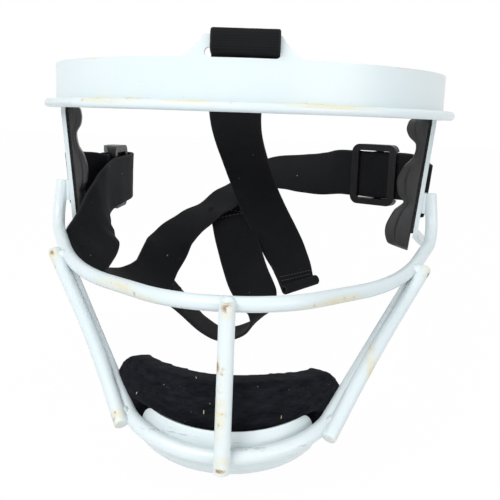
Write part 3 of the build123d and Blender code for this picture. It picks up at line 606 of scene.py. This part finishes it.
# Where the coat is rubbed yellow and chipped, and where it is scuffed: centre and reach
rub_places = [
    ((-41, -110, -62), (17, 20, 3.2)),
    ((-30, -119, -62.5), (11, 12, 2.2)),
    ((36, -114, -63), (22, 20, 2.8)),
    ((0, -137, -61.4), (3.6, 4, 4.2)),
    ((-2.6, -138.5, -80), (1.5, 4, 6)),
    ((-1, -140, -92), (2.6, 5, 16)),
    ((0, -142.6, -110.6), (3.4, 4, 4)),
    ((-76, -69, -59), (3.6, 5, 5)),
    ((-74.5, -73, -66), (2.6, 7, 10)),
    ((-38, -123, -105), (4, 5, 6)),
    ((75.5, -70, -61), (3.5, 4, 5)),
    ((51, -104, -88), (2.6, 16, 16)),
    ((37, -122, -110), (5, 4, 4)),
    ((-52, -80, 3.2), (26, 16, 1.6)),
    ((36, -87, 3.2), (34, 12, 1.5)),
    ((-20, -93, 3.3), (24, 6, 1.3)),
    ((-60, -67, 19.2), (10, 9, 0.8)),
    ((66, -61, 19.2), (16, 14, 0.8)),
]
chip_places = [
    ((0, -137.2, -60.6), (2.4, 3, 1.9)),
    ((-2.4, -138, -79.5), (0.9, 3, 2.2)),
    ((-0.6, -142.7, -112.6), (2.6, 3, 0.9)),
    ((-76, -69, -58.2), (1.6, 3, 1.6)),
    ((76.2, -69, -61.4), (1.4, 3, 1.6)),
]
scuff_places = [
    ((-17, -128, -106.6), (15, 9, 1.2)),
    ((4, -132.5, -108.2), (24, 5, 1.1)),
    ((24, -131, -108.4), (10, 8, 1.1)),
    ((22, -127, -112), (9, 7, 2)),
]

coat = powder_coat()
cloth = webbing_cloth()
foam = foam_skin()
pile = brushed_loop()
stubble = hook_stubble()
plastic = buckle_plastic()
twine = thread()
fluff = lint_fibre()


# Steel and plastic nodes keep their solids and get their finish
steel_nodes = (
    "forehead_band", "right_side_plate", "left_side_plate", "mouth_bar", "centre_rod",
    "right_rod", "left_rod", "chin_bar", "chin_plate", "weld_beads",
)


def round_edges(piece, width, segments, angle):
    """Hard edges rounded a little: a width in millimetres, at corners over an angle."""
    rounding = piece.modifiers.new("rounding", "BEVEL")
    rounding.width = width * MM
    rounding.segments = segments
    rounding.limit_method = "ANGLE"
    rounding.angle_limit = radians(angle)


for node in steel_nodes:
    cover(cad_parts[node], coat, False)
for node in ("right_adjuster", "left_adjuster"):
    cover(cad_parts[node], plastic, False)
    round_edges(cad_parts[node], 0.7, 3, 40)


# Side rods: the solids' wire, bowed and trimmed as use has left it
rod_top = Vector((76.04, -64.99, -58.27))
rod_foot = Vector((36.07, -122.60, -108.47))
rod_steps = 40
rod_sides = 28
rod_round_turns = (0, 30, 60, 90)
bow_skew = 1.15
foot_skew = 3


def bent_rod(hand, side, trim_top, trim_foot, bow, foot_shift):
    """A round rod along a slightly bowed line, with rounded cut ends."""
    course = (rod_foot - rod_top).normalized()
    start, end = rod_top + course * trim_top, rod_foot - course * trim_foot
    length = (end - start).length
    stops = [wire_round * (1 - cos(radians(turn))) for turn in rod_round_turns]
    spans = stops + [length * step / rod_steps for step in range(1, rod_steps)]
    spans += [length - stop for stop in reversed(stops)]
    across = course.cross(UP).normalized()
    upward = across.cross(course)
    bm = bmesh.new()
    rings = []
    for place in spans:
        t = place / length
        middle = start + course * place
        middle += Vector(bow) * sin(pi * t**bow_skew) + Vector(foot_shift) * t**foot_skew
        depth = min(place, length - place, wire_round)
        rounded = sqrt(max(0, wire_round**2 - (wire_round - depth) ** 2))
        reach = wire_half - wire_round + rounded
        rings.append(add_ring(bm, middle, across * reach, upward * reach, rod_sides, side))
    close_tube(bm, rings)
    piece = finish_mesh(hand + "_bent_rod", bm, coat, "guard")
    piece.data.set_sharp_from_angle(angle=radians(50))
    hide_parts(hand + "_rod")


bent_rod("right", 1, 1.8, 0.0, (-1.5, -0.7, 0), (-1.0, -0.5, -0.3))
bent_rod("left", -1, 0.0, 1.6, (-2.2, -0.9, 0), (-0.8, -0.4, 0))


# Webbing
def web_section(columns=14, corner=3):
    """The strap's section, round it once, as side and height."""
    flat = web_width / 2 - web_half
    ring = []
    for face in (1, -1):
        for step in range(columns + 1):
            ring.append((face * flat * (2 * step / columns - 1), face * web_half))
        for step in range(1, corner + 1):
            turn = face * pi / 2 - pi * step / (corner + 1)
            ring.append((face * flat + web_half * cos(turn), web_half * sin(turn)))
    return ring


def settled(frames, reach=4.0, window=8):
    """The frames with their turning evened out over a few millimetres of strap."""
    even = []
    for index, (position, across, normal) in enumerate(frames):
        total = Vector((0, 0, 0))
        for step in range(max(0, index - window), min(len(frames), index + window + 1)):
            gap = (frames[step][0] - position).length
            if gap < reach and frames[step][1].dot(across) > 0:
                total += frames[step][1] * (1 - gap / reach)
        course = across.cross(normal)
        turned = (total - course * total.dot(course)).normalized()
        even.append((position, turned, course.cross(turned)))
    return even


def lay_webbing(name, route, body, cup=0.25, seed=0.0):
    """A strap along a dense route in millimetres, slightly cupped and uneven."""
    bm = bmesh.new()
    weave = bm.loops.layers.uv.new("weave")
    section = web_section()
    frames = settled(cross_frames(route))
    rings, lengths, travelled = [], [], 0.0
    for index, (position, across, normal) in enumerate(frames):
        if index:
            travelled += (position - frames[index - 1][0]).length
        lengths.append(travelled)
        sway = noise.noise(Vector((travelled / sway_length, seed, 0)))
        drift = noise.noise(Vector((travelled / narrow_length, seed, 5)))
        wide = across * (1 + widening * (1 + drift))
        ring = []
        for side, height in section:
            crown = 1 - (side / (web_width / 2)) ** 2
            wave = noise.noise(Vector((side / ripple_width, travelled / ripple_length, seed)))
            lift = height + cup * sway * (1 - cup_balance - crown)
            lift += ripple_height * wave * crown
            ring.append(bm.verts.new((position + wide * side + normal * lift) * MM))
        rings.append(ring)
    count = len(section)
    for index, (first, second) in enumerate(zip(rings, rings[1:])):
        for corner in range(count):
            after = (corner + 1) % count
            face = bm.faces.new((first[corner], first[after], second[after], second[corner]))
            marks = ((corner, 0), (after, 0), (after, 1), (corner, 1))
            for loop, (spot, step) in zip(face.loops, marks):
                loop[weave].uv = (section[spot][0], lengths[index + step])
    for ring in (rings[0], rings[-1]):
        face = bm.faces.new(ring)
        for loop, (side, height) in zip(face.loops, section):
            loop[weave].uv = (side, height)
    piece = finish_mesh(name, bm, cloth, body)
    return piece, frames


def add_stitch(bm, start, end, normal):
    """One stitch: a short arched thread between two points, in millimetres."""
    course = end - start
    side = course.cross(normal).normalized()
    rings = []
    for step in range(stitch_steps + 1):
        t = step / stitch_steps
        arch = sin(pi * t)
        rise = thread_thick * (stitch_foot + stitch_arch * arch)
        middle = start + course * t + normal * rise
        fat = thread_thick * (stitch_tip + (1 - stitch_tip) * arch)
        rings.append(add_ring(bm, middle, side * fat, normal * fat, stitch_sides))
    close_tube(bm, rings)


def stitch_row(bm, path, normal, pitch=2.6):
    """Stitches along a straight or bent path of points."""
    for start, end in zip(path, path[1:]):
        length = (end - start).length
        count = max(1, round(length / pitch))
        for step in range(count):
            first = start + (end - start) * (step / count)
            last = start + (end - start) * ((step + stitch_share) / count)
            add_stitch(bm, first, last, normal)


def box_stitch(bm, frame_here, course, half_length, side):
    """A sewn box with a cross, on one face of a strap."""
    position, across, normal = frame_here
    face = normal * side
    base = position + face * (web_half + thread_lift)
    corners = [
        base + across * box_half_width * a + course * half_length * b
        for a, b in ((-1, -1), (1, -1), (1, 1), (-1, 1))
    ]
    for path in ([*corners, corners[0]], corners[0::2], corners[1::2]):
        stitch_row(bm, path, face)


# The webbing's turn round each side plate's rear bar
plate_outer = sqrt(band_inner**2 - (plate_width / 2) ** 2)
lean_slope = tan(radians(plate_lean))
lean_up = radial(plate_angle) * sin(radians(plate_lean)) + UP * cos(radians(plate_lean))
lean_out = radial(plate_angle) * cos(radians(plate_lean)) - UP * sin(radians(plate_lean))
slot_centre = plate_width / 2 - plate_slot_margin - plate_slot_width / 2


def plate_reach(level, depth):
    """Distance from the head's axis of a line inside the plate's skin, at a height."""
    drop = max(0, -plate_kink_drop - level)
    return plate_outer - lean_slope * drop - depth / cos(radians(plate_lean))


plate_mid = plate_reach(-plate_slot_drop, sheet_thickness / 2)


def wrap_point(distance, angle):
    """A point beside the rear bar: distance round the head, angle from outside."""
    base = radial(plate_angle) * plate_mid - UP * plate_slot_drop
    reach = distance - wrap_radius * sin(radians(angle))
    return base + along(plate_angle) * reach + lean_out * wrap_radius * cos(radians(angle))


wrap_steps = 12
wrap_exit = plate_width / 2 + wrap_radius
right_wrap = [(wrap_point(wrap_exit, 0), lean_up)]
for step in range(wrap_steps + 1):
    place = wrap_point(slot_centre + wrap_radius, 180 * step / wrap_steps)
    right_wrap.append((place, lean_up))
right_wrap.append((wrap_point(wrap_exit, 180), lean_up))
left_wrap = [(on_side(place, -1), on_side(width, -1)) for place, width in reversed(right_wrap)]


class Slide:
    """An adjuster's place, its course towards the slot, and the way out from the head."""

    def __init__(self, share, heading, side):
        self.origin = Vector(share) * band_radius
        self.course = Vector((-heading[0], -heading[1], 0)).normalized()
        self.out = Vector((0, 0, side)).cross(self.course)

    def at(self, forward, out):
        return self.origin + self.course * forward + self.out * out, UP.copy()


right_slide = Slide(right_adjuster_share, right_adjuster_heading, 1)
left_slide = Slide(left_adjuster_share, left_adjuster_heading, -1)
straight_half = adjuster_length / 2 + adjuster_travel


def through(slide, way):
    """The straight stretch of webbing inside an adjuster."""
    reaches = (straight_half + straight_margin, straight_half - straight_margin, 0)
    stretch = [*reaches, -reaches[1], -reaches[0]]
    return [slide.at(way * reach, 0) for reach in stretch]


def returned(run, side):
    """The outer layer of an anchor loop, spread from the inner one."""
    spread = []
    for index, (position, width) in enumerate(run):
        before = run[max(index - 1, 0)][0]
        after = run[min(index + 1, len(run) - 1)][0]
        out = (after - before).cross(width).normalized()
        if out.x * side < 0:
            out = -out
        spread.append((position + out * return_spread, width))
    return spread


right_run = stations(right_run_shares)
left_run = stations(left_run_shares)
rear_route = list(right_wrap[:-1])
rear_route += smooth(
    right_wrap[-1:]
    + right_run
    + through(right_slide, 1)
    + stations(rear_route_shares)
    + through(left_slide, -1)
    + list(reversed(left_run))
    + left_wrap[:1]
)[:-1]
rear_route += left_wrap
rear_webbing, _ = lay_webbing("rear_webbing", rear_route, "guard", cup=0.3, seed=1.0)
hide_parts("rear_strap")

# The ponytail strap's hidden last points stay out of the rear strap
ponytail_route = smooth(stations(ponytail_route_shares))[:-4]
ponytail_webbing, ponytail_frames = lay_webbing(
    "ponytail_webbing", ponytail_route, "guard", cup=0.4, seed=3.0
)
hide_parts("ponytail_strap")

# Crown strap: through the tab's slot, over the tab's bar, back over the head, to a rolled hem
tab_front = band_radius + tab_wrap_clear - web_half / 2
tab_slot_mid = tab_top - tab_bar_height - tab_slot_height / 2
tab_wrap_sites = (
    (tab_front, tab_slot_mid + web_thickness),
    (tab_front, tab_top - tab_bar_height / 2),
    (tab_front, tab_top),
    (band_radius, tab_top + web_thickness),
    (band_inner, tab_top + web_thickness),
    (band_inner - web_thickness, tab_top + web_thickness),
)


def level_station(side, share, level):
    """A station of the crown strap over the forehead."""
    return Vector((side, -share * band_radius, level)), Vector((1, 0, 0))


crown_route = [level_station(side, share, level) for side, share, level in tab_return_sites]
crown_route += [
    level_station(crown_shift, reach / band_radius, level) for reach, level in tab_wrap_sites
]
crown_route += [level_station(side, share, level) for side, share, level in crown_lead_sites]
crown_route = smooth(crown_route + stations(crown_route_shares))
lead_start, lead_width = crown_route[-1]
for step in range(1, hem_lead_steps + 1):
    crown_route.append((lead_start + Vector(hem_lead) * step / hem_lead_steps, lead_width))
end_position, end_across, end_normal = cross_frames(crown_route)[-1]
end_course = end_across.cross(end_normal)
crown_length = len(crown_route)
for step in range(1, hem_steps + 1):
    turn = radians(hem_angle * step / hem_steps)
    rolled = end_normal * hem_radius * (1 - cos(turn)) + end_course * hem_radius * sin(turn)
    crown_route.append((end_position + rolled, end_across))
crown_webbing, crown_frames = lay_webbing("crown_webbing", crown_route, "guard", cup=0.3, seed=7.0)
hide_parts("top_strap")

# Anchor returns: the loop's outer layer, folded round the adjuster's centre bar and sewn
bar_inner = web_half + adjuster_clear
bar_outer = bar_inner + web_thickness + adjuster_clear
bar_mid = bar_outer + adjuster_bar_depth / 2
end_spread = (adjuster_bar_depth + web_thickness) / 2 + adjuster_clear
end_nose = adjuster_bar / 2 - end_spread / 2
fold_steps = 10
lead_lift, lead_reach, lead_sink, lead_flat = 0.3, 1.2, 1.0, 3.2
fold_lead = 2
tail_sites = ((-3, 0.1), (0.8, 1.3))
tail_rows = ((3.4, 0.0), (0.6, 0.25))
blend_margin = 1


def anchor_return(hand, side, wrap_end, run, slide):
    """The return from the plate to the slider, with its fold round the centre bar."""
    name, slider = hand + "_anchor_return", hand + "_slider"
    upper, lower = bar_mid + end_spread, bar_mid - end_spread
    lead = (
        (tail_length + tail_gap, return_spread + lead_lift),
        (tail_length + lead_reach, upper - lead_sink),
        (tail_length - lead_flat, upper),
        (0, upper),
    )
    tail = [(fold_lead, lower)]
    tail += [(tail_length + reach, lower + lift) for reach, lift in tail_sites]
    route = smooth([wrap_end] + returned(run, side) + [slide.at(*spot) for spot in lead])
    for step in range(fold_steps + 1):
        turn = radians(180 * step / fold_steps)
        forward = -end_nose - end_spread * sin(turn)
        route.append(slide.at(forward, bar_mid + end_spread * cos(turn)))
    route += smooth([slide.at(*spot) for spot in tail])
    piece, _ = lay_webbing(name, route, None, cup=0.15, seed=side * 4.0)
    stitches = bmesh.new()
    for inset, sunk in tail_rows:
        middle, across = slide.at(tail_length - inset, upper + web_half - sunk)
        path = [middle - across * row_half_width, middle + across * row_half_width]
        stitch_row(stitches, path, slide.out, pitch=2.2)
    seam = finish_mesh(name + "_stitches", stitches, twine, slider)
    end = slide.at(tail_length + tail_gap + blend_margin, return_spread)[0] * MM
    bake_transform(piece)
    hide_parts(hand + "_strap_end")


anchor_return("right", 1, right_wrap[0], right_run, right_slide)
anchor_return("left", -1, left_wrap[-1], left_run, left_slide)


# Seams on the fixed straps
def frame_near(frames, spot):
    """The strap's frame and course nearest a place in millimetres."""
    index = min(range(len(frames)), key=lambda i: (frames[i][0] - Vector(spot)).length)
    here = frames[index]
    after = frames[min(index + 1, len(frames) - 1)][0]
    before = frames[max(index - 1, 0)][0]
    return here, (after - before).normalized()


seams = bmesh.new()
for side in (1, -1):
    for index in box_steps:
        course = (ponytail_frames[index + 2][0] - ponytail_frames[index - 2][0]).normalized()
        box_stitch(seams, ponytail_frames[index], course, box_half_length, side)
    for step in hem_row_steps:
        position, across, normal = crown_frames[crown_length - step]
        base = position + normal * side * (web_half + thread_lift)
        reach = across * hem_half_width
        stitch_row(seams, [base - reach, base + reach], normal * side, pitch=2.0)
here, course = frame_near(crown_frames, (-0.6, -63, 18.4))
box_stitch(seams, here, course, tab_box_half_length, -1)
strap_seams = finish_mesh("strap_seams", seams, twine, "guard")


# Foam
def depth_at(level, press):
    """The side pad's depth over its tape at a height, from its rib table."""
    levels, depths = side_pad_level, side_pad_depth
    for index in range(len(levels) - 1):
        high, low = levels[index], levels[index + 1]
        if level >= low:
            break
    t = (high - level) / (high - low)
    before = depths[max(index - 1, 0)]
    after = depths[min(index + 2, len(depths) - 1)]
    first, second = depths[index], depths[index + 1]
    rise = (second - before) / 2 * t * (1 - t) ** 2 - (after - first) / 2 * t * t * (1 - t)
    return (first + (second - first) * t * t * (3 - 2 * t) + rise) * press


def eased(t):
    """0 to 1 with a soft start and end."""
    t = min(1, max(0, t))
    return t * t * (3 - 2 * t)


strip_rows, strip_columns = 110, 44
strip_end = 0.10
strip_taper = 0.42
strip_blunt = 0.12
# A strip's edge and shoulder: share of its depth, where across the strip, and how wide
strip_slopes = ((0.56, 1.0, 0.12), (0.44, 0.80, 0.16))
end_depth, edge_depth = 0.12, 0.10
skin_gap, least_depth, back_gap = 0.1, 0.25, 0.02
wobble_height, wobble_length = 0.10, 5.0


def fall(t, span):
    """1 along a strip, falling in a quarter circle to 0 over the last span of its length."""
    return sqrt(max(0, 1 - max(0, (t - (1 - span)) / span) ** 2))


def foam_strip(hand, side, press):
    """A ribbed strip of moulded foam inside a side plate."""
    bm = bmesh.new()
    half = side_pad_width / 2
    middle = half - side_pad_setback
    top, bottom = side_pad_level[0], side_pad_level[-1]
    front, back = [], []
    for row in range(strip_rows + 1):
        level = top + (bottom - top) * row / strip_rows
        end = abs(2 * row / strip_rows - 1)
        waist = half * (1 - strip_taper * (1 - fall(end, strip_end)))
        blunt = fall(end, strip_blunt)
        ribbed = max(least_depth, depth_at(level, press) - skin_gap)
        ribbed *= end_depth + (1 - end_depth) * blunt
        front_row, back_row = [], []
        for column in range(strip_columns + 1):
            t = 2 * column / strip_columns - 1
            bulge = sum(
                share * eased((start - abs(t)) / width) for share, start, width in strip_slopes
            )
            wobble = noise.noise(Vector((level / wobble_length, t * 2, side * 3.0)))
            depth = ribbed * (edge_depth + (1 - edge_depth) * bulge)
            depth += wobble_height * wobble * bulge * blunt
            for shelf, row_points in ((depth, front_row), (back_gap, back_row)):
                spot = radial(plate_angle) * plate_reach(level, tape_depth + shelf)
                spot += along(plate_angle) * (middle + t * waist) + UP * level
                row_points.append(bm.verts.new(on_side(spot, side) * MM))
        front.append(front_row)
        back.append(back_row)
    for rows in (front, back, (front[0], back[0]), (front[-1], back[-1])):
        add_sheet(bm, rows)
    for column in (0, -1):
        add_sheet(bm, [[row[column] for row in sheet] for sheet in (front, back)])
    piece = finish_mesh(hand + "_foam_strip", bm, foam, "guard")
    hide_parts(hand + "_side_pad")


foam_strip("right", 1, 1.0)
foam_strip("left", -1, left_pad_share)


def soften_copy(name, node, material, slot, voxel, passes, move):
    """A fine, rounded mesh in the space of a plain solid, with its points moved by a rule."""
    piece = new_object(name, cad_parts[node].data.copy())
    remesh = piece.modifiers.new("even", "REMESH")
    remesh.mode = "VOXEL"
    remesh.voxel_size = voxel * MM
    relax = piece.modifiers.new("relax", "SMOOTH")
    relax.factor = 0.5
    relax.iterations = passes
    shown = piece.evaluated_get(bpy.context.evaluated_depsgraph_get())
    mesh = bpy.data.meshes.new_from_object(shown)
    piece.modifiers.clear()
    piece.data = mesh
    for vertex in mesh.vertices:
        vertex.co += move(vertex.co / MM, vertex.normal) * MM
    cover(piece, material)
    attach(piece, "guard")
    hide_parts(node)
    return piece


# The chin pad's top edge, pressed out of line in use: places and moves in millimetres
crest_foot, crest_height = -104.0, 12.0
risen_place, risen_reach, rise = -1.0, 25.0, 2.7
sunk_place, sunk_reach, sink = 36.0, 14.0, 2.6
spread_start, spread_reach, spread = -20.0, 22.0, 1.2

# Uneven surfaces: how long and how deep their waves are
nap_length, nap_height, nap_depth = 5.0, 0.9, 0.16
fuzz_length, fuzz_depth = 1.1, 0.09
wave_length, wave_depth = 7.0, 0.18
grain_length, grain_depth = 1.3, 0.04


def nap(place, normal):
    """Brushed cloth's uneven nap, on a pad pressed lower to the wearer's left."""
    combed = Vector((place.x / nap_length, place.y / nap_length, place.z / nap_height))
    uneven = nap_depth * noise.noise(combed) + fuzz_depth * noise.noise(place / fuzz_length)
    crest = min(1, max(0, (place.z - crest_foot) / crest_height))
    risen = exp(-(((place.x - risen_place) / risen_reach) ** 4))
    sunk = exp(-(((place.x - sunk_place) / sunk_reach) ** 2))
    pressed = UP * crest * (rise * risen - sink * sunk)
    pressed.x -= spread * max(0, (spread_start - place.x) / spread_reach)
    return normal * uneven + pressed


def skin(place, normal):
    """A moulded skin's slow waves."""
    waves = wave_depth * noise.noise(place / wave_length)
    return normal * (waves + grain_depth * noise.noise(place / grain_length))


chin_mesh, brow_mesh = (((0.75, 9), (0.7, 10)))
chin_cushion = soften_copy("chin_cushion", "chin_pad", pile, "brushed_pad", *chin_mesh, nap)
brow_cushion = soften_copy("brow_cushion", "forehead_pad", foam, "moulded_foam", *brow_mesh, skin)


def hook_strip(node):
    """A hook tape in the place of its solid, with its edges rounded."""
    piece = new_object(node.replace("tape", "strip"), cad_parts[node].data.copy())
    cover(piece, stubble, False)
    round_edges(piece, 0.2, 2, 30)
    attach(piece, "guard")
    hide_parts(node)


for node in ("forehead_hook_tape", "right_hook_tape", "left_hook_tape", "chin_hook_tape"):
    hook_strip(node)


# Lint: pale bits caught in the chin pad's nap
camera_place = Vector((13.598, -360.242, -1.711)) * MM
camera_yaw, camera_pitch, camera_roll = radians(1.7896), radians(10.1787), radians(1.9798)
camera_lens, camera_sensor, picture_width = 53.06, 36.0, 500
lint_pixels = ((137, 393), (196, 378), (204, 412), (281, 417))
lint_bits = 34
lint_steps, lint_sides = 5, 5
lint_length, lint_lift, lint_fat, lint_tip = 2.2, 0.12, 0.26, 0.35
seen_size, stray_size = (0.45, 0.75), (0.10, 0.24)
turned = (
    Matrix.Rotation(camera_yaw, 4, "Z")
    @ Matrix.Rotation(pi / 2 - camera_pitch, 4, "X")
    @ Matrix.Rotation(camera_roll, 4, "Z")
)


def pixel_ray(u, v):
    """The direction from the camera through a pixel of the 500 by 500 picture."""
    reach = camera_lens / camera_sensor * picture_width
    spot = Vector((u - picture_width / 2, picture_width / 2 - v, -reach))
    return (turned.to_3x3() @ spot).normalized()


def scatter_lint():
    """Short curled fibres on the pad's face, some where the photograph shows them."""
    bm = bmesh.new()
    spots = []
    for u, v in lint_pixels:
        hit, place, normal, _ = chin_cushion.ray_cast(camera_place, pixel_ray(u, v))
        if hit:
            spots.append((place, normal, random.uniform(*seen_size)))
    polygons = [p for p in chin_cushion.data.polygons if p.normal.y < -0.2]
    for polygon in random.sample(polygons, lint_bits):
        size = random.uniform(*stray_size)
        spots.append((polygon.center.copy(), polygon.normal.copy(), size))
    for place, normal, size in spots:
        side = normal.orthogonal().normalized()
        side.rotate(Matrix.Rotation(random.uniform(0, 2 * pi), 3, normal))
        across = normal.cross(side)
        bend = across * random.uniform(-0.5, 0.5)
        rings = []
        for step in range(lint_steps + 1):
            t = step / lint_steps - 0.5
            curl = side * t * lint_length + bend * (t * t - 0.25) * 2
            curl += normal * (0.25 - t * t) * 0.5
            middle = place / MM + normal * lint_lift + curl * size
            fat = lint_fat * size * (lint_tip + (1 - lint_tip) * cos(t * pi))
            rings.append(add_ring(bm, middle, across * fat, normal * fat * 0.6, lint_sides))
        close_tube(bm, rings)
    piece = finish_mesh("lint", bm, fluff, "guard")


scatter_lint()


# Camera, floor and light
camera = new_object("camera", bpy.data.cameras.new("camera"))
camera.data.lens = camera_lens
camera.data.sensor_width = camera_sensor
camera.data.clip_start = 0.01
camera.matrix_world = Matrix.Translation(camera_place) @ turned
bpy.context.scene.camera = camera


def seen_white(tree, share):
    """How much of plain white camera, glossy and transmitted rays see."""
    path = tree.nodes.new("ShaderNodeLightPath").outputs
    seen = add_maths(tree, "MAXIMUM", path["Is Camera Ray"], path["Is Glossy Ray"])
    seen = add_maths(tree, "MAXIMUM", seen, path["Is Transmission Ray"])
    return add_maths(tree, "MULTIPLY", seen, share)


def mix_seen(tree, share, own, white, output):
    """Plain white to the rays that see it, and the surface's own shading to the rest."""
    mixed = tree.nodes.new("ShaderNodeMixShader")
    for socket, source in enumerate((seen_white(tree, share), own, white)):
        tree.links.new(source, mixed.inputs[socket])
    tree.links.new(mixed.outputs["Shader"], tree.nodes[output].inputs["Surface"])


floor_half = 4.0
floor_gap = 0.3 * MM
floor_share = 0.982
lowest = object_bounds()[0].z
floor_mesh = bmesh.new()
bmesh.ops.create_grid(floor_mesh, x_segments=1, y_segments=1, size=floor_half)
floor_material = bpy.data.materials.new("floor")
floor_material.use_nodes = True
tree = floor_material.node_tree
floor_bsdf = tree.nodes["Principled BSDF"]
floor_bsdf.inputs["Base Color"].default_value = (0.9, 0.9, 0.9, 1)
floor_bsdf.inputs["Roughness"].default_value = 0.9
glow = tree.nodes.new("ShaderNodeEmission")
mix_seen(tree, floor_share, floor_bsdf.outputs[0], glow.outputs[0], "Material Output")
floor = new_object("floor", bpy.data.meshes.new("floor"))
floor_mesh.to_mesh(floor.data)
floor_mesh.free()
floor.data.transform(Matrix.Translation((0, 0, lowest - floor_gap)))
floor.data.materials.append(floor_material)

world = bpy.data.worlds.new("studio")
bpy.context.scene.world = world
world.use_nodes = True
tree = world.node_tree
ambient = tree.nodes["Background"]
ambient.inputs["Color"].default_value = (0.93, 0.97, 1.0, 1)
ambient.inputs["Strength"].default_value = 0.50
backdrop = tree.nodes.new("ShaderNodeBackground")
backdrop.inputs["Color"].default_value = (1, 1, 1, 1)
mix_seen(tree, 1.0, ambient.outputs[0], backdrop.outputs[0], "World Output")


def soft_box(name, place, target, width, power):
    """A large square area lamp turned towards a target: metres and watts."""
    lamp = bpy.data.lights.new(name, "AREA")
    lamp.size = width
    lamp.energy = power
    holder = new_object(name, lamp)
    holder.location = place
    facing = (Vector(place) - Vector(target)).to_track_quat("Z", "Y")
    holder.rotation_euler = facing.to_euler()


soft_box("key", (-0.55, -0.92, 0.66), (0, -0.05, -0.03), 0.7, 10.0)
soft_box("fill", (0.85, -0.8, 0.15), (0, -0.05, -0.05), 0.8, 4.0)
soft_box("top", (0.0, 0.15, 1.1), (0, 0, 0), 1.0, 2.8)

bpy.context.scene.view_settings.view_transform = "Standard"
